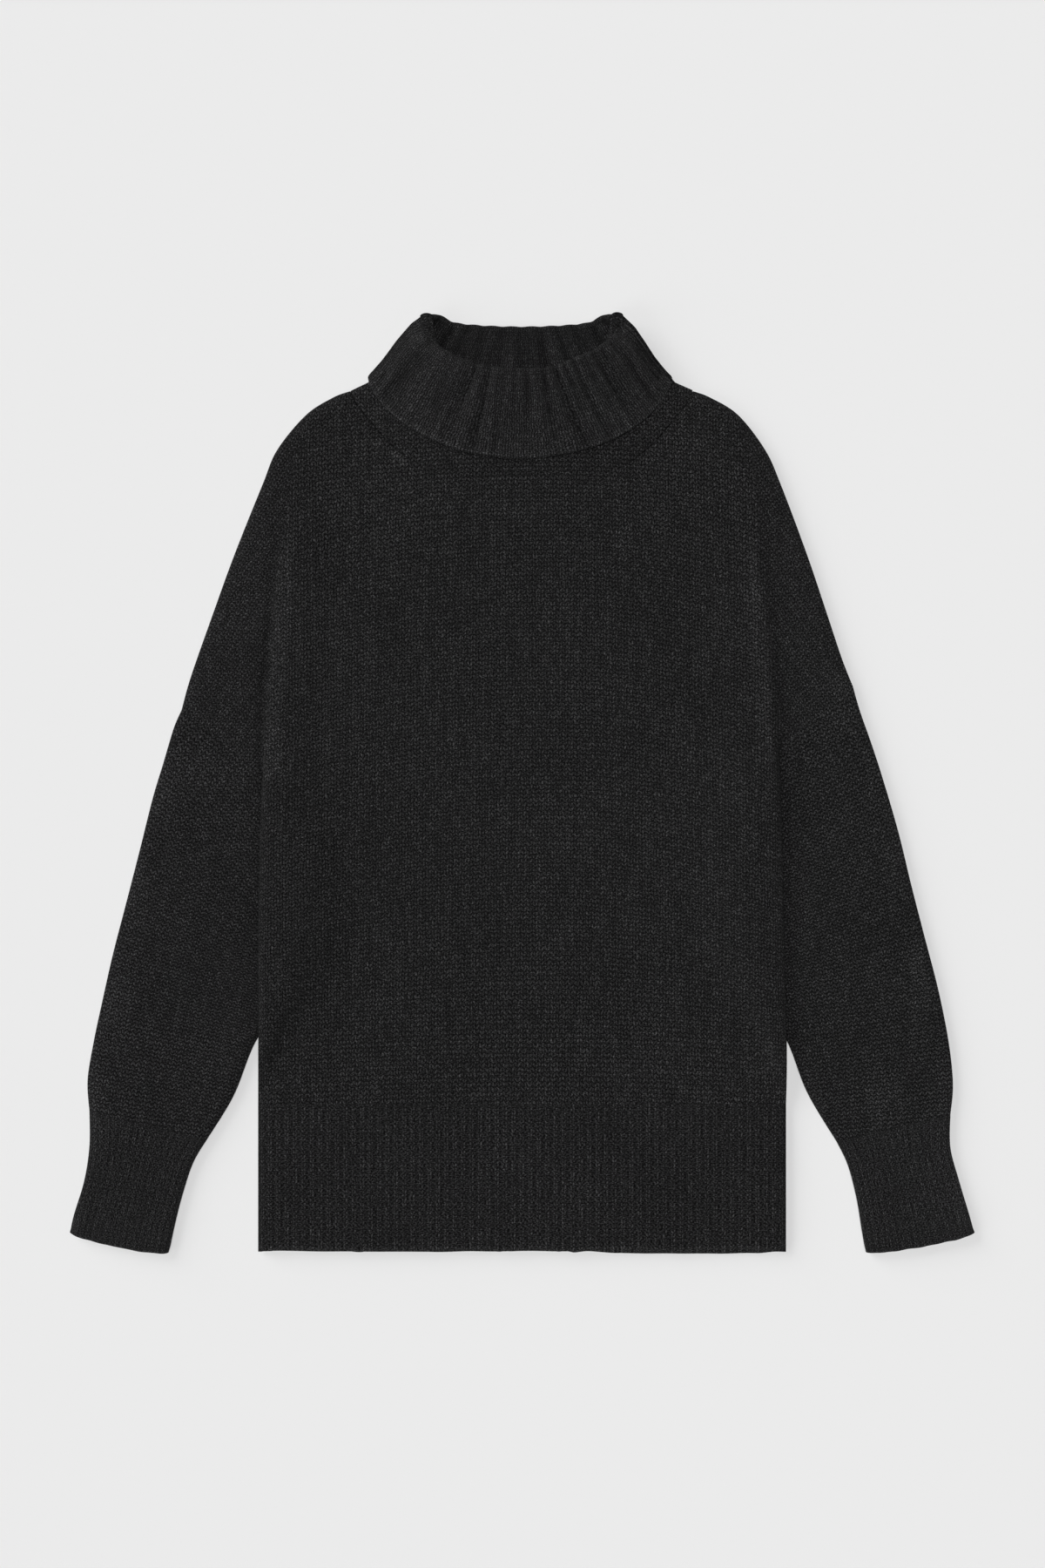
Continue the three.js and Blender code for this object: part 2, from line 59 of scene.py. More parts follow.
# The part of a side stretch over which its edge turns inwards, and from where it turns to the neck
EDGE_TURNS = 0.12
NECK_TURNS = 0.86
# How much closer the columns stand at the sides than in the middle
COLUMNS_CROWDED = 0.4
# The slow rise and fall: height, width and length of each kind of wave, and its own part of the noise
SWELLS = ((0.8, 95, 120, 3.1), (0.3, 34, 41, 7.7))
# The rows' arch: its middle, and how steeply it falls away to the left and to the right
ARCH_MIDDLE, ARCH_LEFT, ARCH_RIGHT, ARCH_SPREAD = 30, 0.20, 0.35, 380
# The yarn's colour, and how it scatters light
YARN = (0.0178, 0.0178, 0.0181)
ROUGHNESS, SPECULAR, SHEEN = 0.9, 0.06, 0.02
# How uneven the stitches are, how dark the darkest leg is and how much lighter others may be
HAND, LEG_DARKEST, LEG_CHANCE = 0.6, 0.8, 0.6
# How far up its row a leg runs, how light the painted shade between the yarns is, and the yarns over them
LEG_RISE, GAP_LIGHT, HEIGHT_LIGHT = 0.55, 0.12, 1.4

# The side edges, as left x, left y, right x, right y
BODY_SIDES = [
    (-217.4, 121.7, 219.6, 121.7),
    (-216.7, 174.0, 219.6, 178.0),
    (-216.7, 268.0, 217.4, 275.0),
    (-215.3, 345.0, 215.5, 358.0),
    (-213.8, 397.4, 213.8, 415.4),
]
ARMHOLES = [
    (-213.8, 397.4, 213.8, 415.4),
    (-280.8, 447.8, 275.0, 467.3),
]
SHOULDERS = [
    (-280.8, 447.8, 275.0, 467.3),
    (-272.9, 475.9, 266.0, 490.0),
    (-255.3, 526.0, 254.0, 526.0),
    (-236.9, 576.7, 236.9, 576.7),
    (-213.8, 634.3, 215.3, 634.3),
    (-201.6, 663.1, 202.3, 663.1),
    (-177.8, 691.9, 180.0, 691.9),
    (-155.5, 706.3, 157.0, 706.3),
    (-141.3, 711.7, 142.7, 711.7),
]
STRETCH_ROWS = ((BODY_SIDES, 92), (ARMHOLES, 26), (SHOULDERS, 78))
PANEL_COLUMNS = 200

# The neck seam, as how far it lies below the neck points at each distance from the middle
NECK_X = 0.7
NECK_HALF_WIDTH = 142.0
NECK_POINT_Y = 711.7
BACK_NECK = [(0, 22), (60, 22), (100, 19), (125, 11), (142, 0)]
FRONT_NECK = [
    (0, 71.5), (30, 71.3), (50, 70.3), (65, 68.3), (76, 65.8), (85, 62.5), (96, 54.7), (110, 43),
    (122, 29), (136, 12), (142, 0),
]

# The sleeves' edges, as outer x, outer y, inner x, inner y. Below the armpit the inner edge slips under
# the body.
SLEEVE_EDGES = {
    "left": [
        (-280.8, 447.8, -213.8, 397.4),
        (-287.3, 432.7, -211.5, 381.0),
        (-295.9, 403.9, -207.0, 363.0),
        (-304.6, 375.1, -200.0, 345.0),
        (-315.4, 331.9, -190.0, 312.0),
        (-326.5, 288.7, -190.0, 270.0),
        (-337.7, 245.5, -197.0, 236.0),
        (-347.4, 202.3, -209.0, 194.0),
        (-353.5, 173.5, -223.2, 165.6),
        (-358.6, 141.8, -238.0, 128.0),
        (-357.1, 115.9, -259.9, 92.2),
    ],
    "right": [
        (275.0, 467.3, 213.8, 415.4),
        (280.8, 447.1, 211.5, 399.0),
        (290.9, 418.3, 207.0, 380.0),
        (300.2, 389.5, 202.0, 356.0),
        (312.8, 346.3, 192.0, 318.0),
        (323.3, 303.1, 192.0, 275.0),
        (334.4, 259.9, 199.0, 236.0),
        (345.6, 216.7, 211.0, 194.0),
        (354.2, 173.5, 223.5, 167.0),
        (357.8, 138.2, 237.6, 130.3),
        (355.7, 113.0, 261.4, 90.7),
    ],
}
# How high the body climbs over a sleeve, how far short of the sleeve's inner edge the climb starts and
# ends, and over what height below the armpit it comes in
CLIMB_HEIGHT = 9.4
CLIMB_STARTS = 26.0
CLIMB_ENDS = 6.0
CLIMB_FADES = 31.0


def mix(a, b, part):
    return a + (b - a) * part


def ease(value, start, end):
    part = min(1.0, max(0.0, (value - start) / (end - start)))
    return part * part * (3 - 2 * part)


def between(rows, at):
    """The second number of the rows at a place in their first number, along straight lines."""
    rows = sorted(rows)
    if at <= rows[0][0]:
        return rows[0][1]
    for (a, value), (b, after) in zip(rows, rows[1:]):
        if at <= b:
            return mix(value, after, (at - a) / (b - a))
    return rows[-1][1]


def along_curve(points, part):
    """A smooth curve through points, at a part of the way along it."""
    last = len(points) - 1
    place = min(part, 1.0) * last
    i = min(int(place), last - 1)
    t = place - i
    a, b, c, d = (Vector(points[min(last, max(0, i + k))]) for k in (-1, 0, 1, 2))
    bend, twist = 2 * a - 5 * b + 4 * c - d, 3 * b - a - 3 * c + d
    return b + (c - a) * (t / 2) + bend * (t * t / 2) + twist * (t**3 / 2)


def swell(x, y):
    """The slow rise and fall of cloth that was laid down and smoothed by hand."""
    return sum(high * noise.noise(Vector((x / wide, y / long, own))) for high, wide, long, own in SWELLS)


def knit_rows(x, y):
    """How high up its wale a place on the body lies. The rows arch, more steeply towards the right side
    and less near the hem and the neck, and are a little taller low down."""
    arch = (ARCH_LEFT if x < ARCH_MIDDLE else ARCH_RIGHT) * (x - ARCH_MIDDLE) ** 2 / ARCH_SPREAD
    arch *= mix(0.2, 1, ease(y, 130, 330)) * mix(1, 0.4, ease(y, 560, 680))
    return y + arch + 0.1 * max(0.0, 257 - y)


def climb(x, y, starts=CLIMB_STARTS):
    """How far the body's layers rise where they lie over a sleeve."""
    side = "left" if x < 0 else "right"
    outward = -1 if x < 0 else 1
    armpit = ARMHOLES[0][1] if x < 0 else ARMHOLES[0][3]
    over = outward * (x - between([(row[3], row[2]) for row in SLEEVE_EDGES[side]], y))
    return CLIMB_HEIGHT * ease(armpit - y, 0, CLIMB_FADES) * ease(over, -starts, -CLIMB_ENDS)


def neck_drop(neck, x):
    return between(neck, abs(x - NECK_X))


def panel_lines(neck):
    """The rows of a body panel from the hem seam up, each with its two edges and the way in from them."""
    lines = []
    # The way in along the neck seam's last stretch, on the left side
    neck_way = Vector((neck[-1][0] - neck[-2][0], neck[-1][1] - neck[-2][1])).normalized()
    armpit = (ARMHOLES[0][1] + ARMHOLES[0][3]) / 2
    for table, count in STRETCH_ROWS:
        for i in range(0 if table is BODY_SIDES else 1, count + 1):
            part = i / count
            lefts, rights = [row[:2] for row in table], [row[2:] for row in table]
            left, right = along_curve(lefts, part), along_curve(rights, part)
            left_in, right_in = Vector((1, 0)), Vector((-1, 0))
            rounded = 1.0
            if table is ARMHOLES:
                rounded = 1 - min(1.0, min(part, 1 - part) / EDGE_TURNS)
            else:
                step = 0.01
                low, high = max(0, part - step), min(1, part + step)
                up_left = along_curve(lefts, high) - along_curve(lefts, low)
                up_right = along_curve(rights, high) - along_curve(rights, low)
                level = min(1.0, part / EDGE_TURNS)
                left_in = left_in.lerp(Vector((up_left.y, -up_left.x)).normalized(), level)
                right_in = right_in.lerp(Vector((-up_right.y, up_right.x)).normalized(), level)
            if table is SHOULDERS:
                top = ease(part, NECK_TURNS, 1)
                left_in = left_in.lerp(neck_way, top)
                right_in = right_in.lerp(Vector((-neck_way.x, neck_way.y)), top)
            up = max(0.0, ((left.y + right.y) / 2 - armpit) / (NECK_POINT_Y - armpit))
            lines.append((left, right, left_in.normalized(), right_in.normalized(), rounded, up))
    left, right, left_in, right_in = lines[-1][:4]
    start, end = left + left_in * EDGE_ROUND, right + right_in * EDGE_ROUND

    def sag(part):
        return mix(start.y, end.y, part) - (NECK_POINT_Y - neck_drop(neck, mix(start.x, end.x, part)))

    return lines, sag


def across_panel(line, sag, i, columns):
    """Where column i stands on a row of a panel, and how far up the rounded side edge it has turned."""
    left, right, left_in, right_in, rounded, up = line
    from_edge = min(i, columns - i)
    if from_edge < EDGE_STEPS:
        turn = math.radians(90) * from_edge / EDGE_STEPS
        edge, way = (left, left_in) if i < columns / 2 else (right, right_in)
        return edge + way * (EDGE_ROUND * (1 - math.cos(turn))), mix(1, math.sin(turn), rounded)
    t = (i - EDGE_STEPS) / (columns - 2 * EDGE_STEPS)
    part = t - COLUMNS_CROWDED * math.sin(2 * math.pi * t) / (2 * math.pi)
    point = (left + left_in * EDGE_ROUND).lerp(right + right_in * EDGE_ROUND, part)
    point.y -= up * sag(part)
    return point, 1.0


def knit_sheet(name, columns, rows, place, stitches, tube=False, turned=False):
    """A piece of knit from a grid. place gives a vertex's spot in millimetres and how much paler or
    darker its yarn is painted, for wear and for painted highlights, sheen and shade; stitches gives its
    place in the knit, as wales and rows, from where it and its face are."""
    bm = bmesh.new()
    uv = bm.loops.layers.uv.new("stitches")
    bmesh.ops.create_grid(bm, x_segments=columns, y_segments=rows, size=0.5, calc_uvs=True)
    pale = bm.verts.layers.float.new("pale")
    cell = {v: (round((v.co.x + 0.5) * columns), round((v.co.y + 0.5) * rows)) for v in bm.verts}
    for face in bm.faces:
        face.smooth = True
        i = min(cell[v][0] for v in face.verts)
        j = min(cell[v][1] for v in face.verts)
        for loop in face.loops:
            loop[uv].uv = stitches(*cell[loop.vert], i, j)
    for v in bm.verts:
        spot, wear_and_painted_light = place(*cell[v])
        v.co = (spot - ORIGIN) * MM
        v[pale] = wear_and_painted_light
    if tube:
        seam = [v for v in bm.verts if cell[v][0] in (0, columns)]
        bmesh.ops.remove_doubles(bm, verts=seam, dist=0.02 * MM)
    if turned:
        bmesh.ops.reverse_faces(bm, faces=bm.faces)
    mesh = bpy.data.meshes.new(name)
    bm.to_mesh(mesh)
    bm.free()
    piece = bpy.data.objects.new(name, mesh)
    bpy.context.collection.objects.link(piece)
    wall = piece.modifiers.new("wall", "SOLIDIFY")
    wall.thickness = WALL * MM
    wall.offset = -1
    return piece


def add_node(tree, kind, *values, **settings):
    made = tree.nodes.new("ShaderNode" + kind)
    for key, value in settings.items():
        setattr(made, key, value)
    for socket, value in zip(made.inputs, values):
        if isinstance(value, bpy.types.NodeSocket):
            tree.links.new(value, socket)
        elif value is not None:
            socket.default_value = value
    return made


def calc(tree, operation, *values):
    return add_node(tree, "Math", *values, operation=operation).outputs[0]


def new_group(name, inputs, outputs):
    tree = bpy.data.node_groups.new(name, "ShaderNodeTree")
    for label, kind in inputs:
        tree.interface.new_socket(label, in_out="INPUT", socket_type="NodeSocket" + kind)
    for label, kind in outputs:
        tree.interface.new_socket(label, in_out="OUTPUT", socket_type="NodeSocket" + kind)
    return tree, tree.nodes.new("NodeGroupInput"), tree.nodes.new("NodeGroupOutput")


def hand_of_knitting(tree, stitch, amount):
    """Moves places in the knit a little, as stitches are never quite even."""
    wander = add_node(tree, "TexNoise", stitch, noise_dimensions="2D")
    wander.inputs["Scale"].default_value = 0.5
    wander.inputs["Detail"].default_value = 3
    middle = (0.5, 0.5, 0.5)
    off = add_node(tree, "VectorMath", wander.outputs["Color"], middle, operation="SUBTRACT").outputs[0]
    far = add_node(tree, "VectorMath", off, operation="SCALE")
    far.inputs["Scale"].default_value = amount
    return add_node(tree, "VectorMath", stitch, far.outputs[0], operation="ADD").outputs[0]


def vee(tree, across, up, by_row, by_wale):
    """The two legs of a knit stitch. across is 0 between two wales and 1 between the next two; the last
    two say how clearly the rows and the wales stand apart."""
    side = calc(tree, "MULTIPLY", calc(tree, "ABSOLUTE", calc(tree, "SUBTRACT", across, 0.5)), 2.0)
    lifted = calc(tree, "SUBTRACT", up, calc(tree, "MULTIPLY", side, LEG_RISE))
    through = calc(tree, "SINE", calc(tree, "MULTIPLY", calc(tree, "FRACT", lifted), math.pi))
    along = calc(tree, "SINE", calc(tree, "MULTIPLY_ADD", side, 0.8 * math.pi, 0.1 * math.pi))
    through = calc(tree, "POWER", through, by_row)
    return calc(tree, "MULTIPLY", through, calc(tree, "POWER", along, by_wale)), lifted


def streaks(tree, stitch, amount):
    """Wales that catch more light than the ones beside them, for a hand's length."""
    long_ways = add_node(tree, "VectorMath", stitch, (1.0, 0.05, 0.0), operation="MULTIPLY").outputs[0]
    along = add_node(tree, "TexNoise", long_ways, noise_dimensions="2D")
    along.inputs["Scale"].default_value = 0.9
    along.inputs["Detail"].default_value = 1
    return calc(tree, "MULTIPLY_ADD", calc(tree, "SUBTRACT", along.outputs["Fac"], 0.5), amount, 1.0)


def leg_tone(tree, leg, row, chance, darkest):
    """How light each leg of a stitch is spun: most are dark and a few are pale."""
    which = add_node(tree, "CombineXYZ", leg, row).outputs[0]
    value = add_node(tree, "TexWhiteNoise", which, noise_dimensions="2D").outputs["Value"]
    return calc(tree, "MULTIPLY_ADD", calc(tree, "POWER", value, 2.0), chance, darkest)


def stitch_group(name):
    return new_group(name, [("Stitch", "Vector")], [("Height", "Float"), ("Tone", "Float")])


def plain_stitches(name, by_row, by_wale, streaked):
    """Rows of vees. Height is the yarn's, Tone is how light each leg is, with painted shade between the
    yarns.
    """
    tree, goes_in, goes_out = stitch_group(name)
    moved = hand_of_knitting(tree, goes_in.outputs[0], HAND)
    parts = add_node(tree, "SeparateXYZ", moved).outputs
    height, lifted = vee(tree, calc(tree, "FRACT", parts[0]), parts[1], by_row, by_wale)
    leg = calc(tree, "FLOOR", calc(tree, "MULTIPLY", parts[0], 2.0))
    tone = leg_tone(tree, leg, calc(tree, "FLOOR", lifted), LEG_CHANCE, LEG_DARKEST)
    tone = calc(tree, "MULTIPLY", tone, streaks(tree, goes_in.outputs[0], streaked))
    # Painted shade in the gaps between the yarns, lighter where the yarn stands higher
    raised = calc(tree, "MULTIPLY_ADD", height, HEIGHT_LIGHT, GAP_LIGHT)
    tree.links.new(height, goes_out.inputs["Height"])
    tree.links.new(calc(tree, "MULTIPLY", raised, tone), goes_out.inputs["Tone"])
    return tree


# Melange yarn: pale fibres spun in with the black, and soft clouds of more or fewer of them
FIBRE_SCALE, FIBRES_FROM, FIBRES_TO = 4.0, 0.34, 0.68
CLOUD_SCALE, CLOUD_AMOUNT = 11, 0.35
SPUN_LIGHT, SPUN_DARK, SPUN_CONTRAST = 1.5, 0.24, 1.6
melange, goes_in, goes_out = new_group(
    "melange_yarn", [("Stitch", "Vector"), ("Tone", "Float"), ("Pale", "Float")], [("Color", "Color")]
)
fibres = add_node(melange, "TexNoise", goes_in.outputs["Stitch"], noise_dimensions="2D")
fibres.inputs["Scale"].default_value = FIBRE_SCALE
fibres.inputs["Detail"].default_value = 1
fibres.inputs["Roughness"].default_value = 0.8
flecks = add_node(melange, "MapRange", fibres.outputs["Fac"], FIBRES_FROM, FIBRES_TO, 0.0, 1.0)
place_on = add_node(melange, "TexCoord").outputs["Object"]
clouds = add_node(melange, "TexNoise", place_on)
clouds.inputs["Scale"].default_value = CLOUD_SCALE
clouds.inputs["Detail"].default_value = 1
off = calc(melange, "SUBTRACT", clouds.outputs["Fac"], 0.5)
cloudy = calc(melange, "MULTIPLY_ADD", off, CLOUD_AMOUNT, 1.0)
mixed = calc(melange, "MULTIPLY_ADD", flecks.outputs[0], SPUN_LIGHT, SPUN_DARK)
spun = calc(melange, "POWER", mixed, SPUN_CONTRAST)
light = calc(melange, "MULTIPLY", calc(melange, "MULTIPLY", goes_in.outputs["Tone"], spun), cloudy)
# The pale attribute lightens or darkens the yarn: wear, and painted highlights, sheen and shade
wear_and_painted_light = calc(melange, "MULTIPLY", light, calc(melange, "ADD", goes_in.outputs["Pale"], 1.0))
yarn = add_node(melange, "VectorMath", YARN, operation="SCALE")
melange.links.new(wear_and_painted_light, yarn.inputs["Scale"])
melange.links.new(yarn.outputs[0], goes_out.inputs["Color"])


def knit_material(name, stitches, relief):
    made = bpy.data.materials.new(name)
    made.use_nodes = True
    tree = made.node_tree
    shader = tree.nodes["Principled BSDF"]
    shader.inputs["Roughness"].default_value = ROUGHNESS
    shader.inputs["Specular IOR Level"].default_value = SPECULAR
    shader.inputs["Sheen Weight"].default_value = SHEEN
    shader.inputs["Sheen Roughness"].default_value = 0.5
    where = add_node(tree, "UVMap", uv_map="stitches").outputs[0]
    wear_and_painted_light = add_node(tree, "Attribute", attribute_name="pale").outputs["Fac"]
    knit = add_node(tree, "Group", where, node_tree=stitches)
    yarn = add_node(tree, "Group", where, knit.outputs["Tone"], wear_and_painted_light, node_tree=melange)
    raised = add_node(tree, "Bump")
    raised.inputs["Distance"].default_value = relief * MM
    tree.links.new(knit.outputs["Height"], raised.inputs["Height"])
    tree.links.new(yarn.outputs["Color"], shader.inputs["Base Color"])
    tree.links.new(raised.outputs["Normal"], shader.inputs["Normal"])
    return made


def dress(piece, material, stands_for):
    piece.data.materials.append(material)
    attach(piece, "root")
    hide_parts(stands_for)


plain_knit = knit_material(
    "plain_knit", plain_stitches("plain_stitches", by_row=0.7, by_wale=0.9, streaked=0.4), relief=1.0
)
back_lines, back_sag = panel_lines(BACK_NECK)


def panel_stitch(point, rise):
    """The knit runs on down the rounded side edges."""
    down = HALF_HEIGHT * (1 - rise) * (-1 if point.x < 0 else 1)
    return (point.x + down) / WALE, knit_rows(point.x, point.y) / ROW


def back_place(i, j):
    point, rise = across_panel(back_lines[j], back_sag, i, PANEL_COLUMNS)
    z = HALF_HEIGHT - HALF_GAP - (HALF_HEIGHT - HALF_GAP) * rise + climb(point.x, point.y)
    return Vector((point.x, point.y, z + ABOVE_FLOOR)), 0.0


def back_stitch(i, j, _i, _j):
    point, rise = across_panel(back_lines[j], back_sag, i, PANEL_COLUMNS)
    return panel_stitch(point, rise)


back = knit_sheet("back_panel", PANEL_COLUMNS, len(back_lines) - 1, back_place, back_stitch, turned=True)
dress(back, plain_knit, "back")


# --------------------------------------------------------------------------------------------------
# Front panel. The upper layer of the body in the same plain knit. Beside the armpits it lies over the
# sleeves, and above them it folds over the dropped shoulders, where the knit turns to run with the
# armhole seam.
# --------------------------------------------------------------------------------------------------

# Where the front folds over the dropped shoulders, as y and x
SHOULDER_FOLDS = {
    "left": [(390, -213.8), (460, -210), (560, -202), (650, -189), (692, -178)],
    "right": [(405, 213.8), (460, 211), (540, 204), (645, 192), (692, 180)],
}
FOLD_HEIGHT = 4.5
# The upper layer hangs clear of the sleeve's edge and so rises more gently than the back
FRONT_CLIMB_STARTS = 52.0
SHOULDER_TURN = math.radians(35)
SHOULDER_WALE, SHOULDER_ROW = 4.6, 3.15
# What shows along the fold: painted highlight on its crest, painted shade in the dip outside it, paler
# cloth beyond
CREST_HIGHLIGHT, DIP_SHADE, OUTSIDE_PALE = 0.36, {"left": 0.34, "right": 0.18}, 0.12
# The linked stitches at the neck seam: how far they dip, and the painted light over the seam's shade in
# the middle
SEAM_DIP, SEAM_PAINTED_LIGHT = 0.8, 0.35
# Paler spots of rubbed or gathered stitches: where they lie, how wide and high they are, and how pale
FRONT_MARKS = [
    (-103, 658, 5, 3, 0.9), (-97, 652, 3, 2, 0.7), (-4, 641, 14, 2, 0.45), (92, 671, 5, 3, 0.6),
    (101, 667, 4, 3, 0.8), (266, 470, 8, 9, 0.5), (111, 676, 5, 4, 0.5), (84, 660, 6, 3, 0.4),
    (-13, 617, 2, 2, 1.2), (-6, 611, 2, 3, 0.9), (-120, 668, 8, 3, 0.35),
]
front_lines, front_sag = panel_lines(FRONT_NECK)


def spots(marks, x, y):
    return sum(
        pale * math.exp(-(((x - at) / wide) ** 2 + ((y - up) / high) ** 2))
        for at, up, wide, high, pale in marks
    )


def bell(value, middle, spread):
    return math.exp(-(((value - middle) / spread) ** 2))


def inside_fold(x, y):
    """How far a place lies towards the middle from the shoulder fold."""
    return abs(between(SHOULDER_FOLDS["left" if x < 0 else "right"], y)) - abs(x)


def shoulder_fold(x, y):
    """How far the fold stands up there, its painted highlight and shade, and the paler cloth beyond it.
    """
    side = "left" if x < 0 else "right"
    rows = SHOULDER_FOLDS[side]
    inside = inside_fold(x, y)
    along = ease(y, rows[0][0] - CLIMB_FADES, rows[0][0]) * (1 - ease(y, rows[1][0] + 60, rows[3][0]))
    height = FOLD_HEIGHT * ease(inside, -3, 5) * (1 - ease(inside, 8, 55)) * along
    if y <= rows[0][0]:
        return height, 0.0
    # Painted highlight on the crest, painted shade in the dip outside it
    crest = CREST_HIGHLIGHT * bell(inside, 8, 8) - DIP_SHADE[side] * bell(inside, -3.5, 4.5)
    return height, crest * along + OUTSIDE_PALE * ease(-inside, 8, 26)


def seam_dip(rows_off, x):
    """The last stitches before the neck seam dip into it beside the neck."""
    return SEAM_DIP * ease(abs(x), 70, 115) * max(0.0, 1 - rows_off / 2) ** 2


def seam_painted_light(rows_off, x):
    """In the middle they lie flat, and painted light over them fills in the line of shade at the seam's
    gap.
    """
    return SEAM_PAINTED_LIGHT * max(0.0, 1 - rows_off / 2) * (1 - ease(abs(x), 60, 100))


def front_place(i, j):
    point, rise = across_panel(front_lines[j], front_sag, i, PANEL_COLUMNS)
    folded, wear_and_painted_light = shoulder_fold(point.x, point.y)
    z = HALF_HEIGHT + HALF_GAP + (HALF_HEIGHT - HALF_GAP + swell(point.x, point.y)) * rise
    starts = mix(CLIMB_STARTS, FRONT_CLIMB_STARTS, ease(point.y, 170, 250))
    rows_off = len(front_lines) - 1 - j
    z += climb(point.x, point.y, starts) + folded - seam_dip(rows_off, point.x)
    # Painted light over the seam's shade in the middle
    wear_and_painted_light += seam_painted_light(rows_off, point.x)
    return Vector((point.x, point.y, z)), wear_and_painted_light + spots(FRONT_MARKS, point.x, point.y)


def front_stitch(i, j, face_i, face_j):
    point, rise = across_panel(front_lines[j], front_sag, i, PANEL_COLUMNS)
    middle, _ = across_panel(front_lines[face_j], front_sag, face_i, PANEL_COLUMNS)
    side = "left" if middle.x < 0 else "right"
    if middle.y < SHOULDER_FOLDS[side][0][0] or inside_fold(middle.x, middle.y) > 0:
        return panel_stitch(point, rise)
    turn = SHOULDER_TURN if side == "left" else -SHOULDER_TURN
    across = point.x * math.cos(turn) - point.y * math.sin(turn)
    up = point.x * math.sin(turn) + point.y * math.cos(turn)
    return across / SHOULDER_WALE, up / SHOULDER_ROW


front = knit_sheet("front_panel", PANEL_COLUMNS, len(front_lines) - 1, front_place, front_stitch)
dress(front, plain_knit, "front")


# --------------------------------------------------------------------------------------------------
# Hem ribs. A band of one-by-one rib, knitted on below each panel in the same yarn and left with a soft
# open edge. The back's shows in places below the front's.
# --------------------------------------------------------------------------------------------------

HEM_TOP = 121.7
HEM_MIDDLE = 1.1
HEM_HALF_WIDTH = 218.5
HEM_RIBS = 60
RIB_DEPTH = 0.28
STEPS_PER_RIB = 8
HEM_ROWS = 36
RIB_HAND, RIB_LEG_DARKEST, RIB_LEG_CHANCE, RIB_STREAKS = 0.16, 0.83, 0.5, 0.12
# Painted sheen along the open edges: how much paler the yarn is painted there
BACK_EDGE_SHEEN, FRONT_EDGE_SHEEN, CUFF_EDGE_SHEEN = 0.5, 0.55, 0.3


def rib_valley(rib):
    """How deep the wall is sunk at a place counted in ribs: whole numbers are the valleys."""
    uneven = 0.75 + 0.9 * noise.noise(Vector((round(rib) * 0.37, 0.5, 0)))
    return RIB_DEPTH * uneven * (0.5 + 0.5 * math.cos(2 * math.pi * rib)) ** 1.3


def open_edge(distance):
    """How far cloth turns down at an open edge, by the distance from it."""
    return 1.4 * max(0.0, 1 - distance / 3) ** 2


def ribbed(name, wales, offset, shade, even):
    """The knit of a rib: vees on its crest and purl bars in the valleys, with painted shade in the
    valleys by shade.
    Stitch counts ribs across and rows up. even says how little the stitches' own relief shows in their
    tone as painted shade."""
    tree, goes_in, goes_out = stitch_group(name)
    moved = hand_of_knitting(tree, goes_in.outputs[0], RIB_HAND)
    parts = add_node(tree, "SeparateXYZ", moved).outputs
    from_crest = calc(tree, "SUBTRACT", calc(tree, "FRACT", parts[0]), 0.5)
    beside = calc(tree, "ABSOLUTE", from_crest)
    valley = add_node(
        tree, "MapRange", beside, 0.24, 0.43, 0.0, 1.0, interpolation_type="SMOOTHSTEP"
    ).outputs[0]
    local = calc(tree, "MULTIPLY_ADD", from_crest, wales, offset)
    leg, lifted = vee(tree, calc(tree, "FRACT", local), parts[1], 0.6, 1.0)
    row = calc(tree, "MULTIPLY", calc(tree, "FRACT", parts[1]), math.pi)
    bars = calc(tree, "MULTIPLY", calc(tree, "SINE", row), 0.5)
    height = add_node(tree, "Mix", valley, data_type="FLOAT")
    tree.links.new(leg, height.inputs[2])
    tree.links.new(bars, height.inputs[3])
    # Each leg has a number of its own, and each rib's are nine on from the rib before
    half = calc(tree, "FLOOR", calc(tree, "MULTIPLY", local, 2.0))
    place = calc(tree, "ADD", calc(tree, "MULTIPLY", calc(tree, "FLOOR", parts[0]), 9.0), half)
    tone = leg_tone(tree, place, calc(tree, "FLOOR", lifted), RIB_LEG_CHANCE, RIB_LEG_DARKEST)
    tone = calc(tree, "MULTIPLY", tone, streaks(tree, goes_in.outputs[0], RIB_STREAKS))
    # Painted shade in the rib's valleys
    deep = calc(tree, "MULTIPLY_ADD", valley, -shade, 1.0 + shade / 3)
    # Painted shade in the gaps between the yarns, by their height
    raised = calc(tree, "MULTIPLY_ADD", height.outputs[0], 1.25 - even, 0.22 + even / 1.6)
    light = calc(tree, "MULTIPLY", raised, tone)
    tree.links.new(height.outputs[0], goes_out.inputs["Height"])
    tree.links.new(calc(tree, "MULTIPLY", light, deep), goes_out.inputs["Tone"])
    return tree


rib_knit = knit_material(
    "rib_knit", ribbed("rib_stitches", wales=1.6, offset=0.5, shade=0.06, even=0.1), relief=0.9
)


def across_hem(i, columns):
    """x, how far up the rounded side edge, and the place in ribs, of a column of a hem band."""
    from_edge = min(i, columns - i)
    if from_edge < EDGE_STEPS:
        turn = math.radians(90) * from_edge / EDGE_STEPS
        inward = EDGE_ROUND * (1 - math.cos(turn))
        reach = HEM_HALF_WIDTH - inward
        out = EDGE_ROUND - inward + HALF_HEIGHT * (1 - math.sin(turn))
        rib = 0.5 - out * HEM_RIBS / (2 * (HEM_HALF_WIDTH - EDGE_ROUND))
        rib = rib if i < columns / 2 else HEM_RIBS + 1 - rib
        return HEM_MIDDLE + (-reach if i < columns / 2 else reach), math.sin(turn), rib
    part = (i - EDGE_STEPS) / (columns - 2 * EDGE_STEPS)
    reach = HEM_HALF_WIDTH - EDGE_ROUND
    return HEM_MIDDLE + mix(-reach, reach, part), 1.0, 0.5 + part * HEM_RIBS


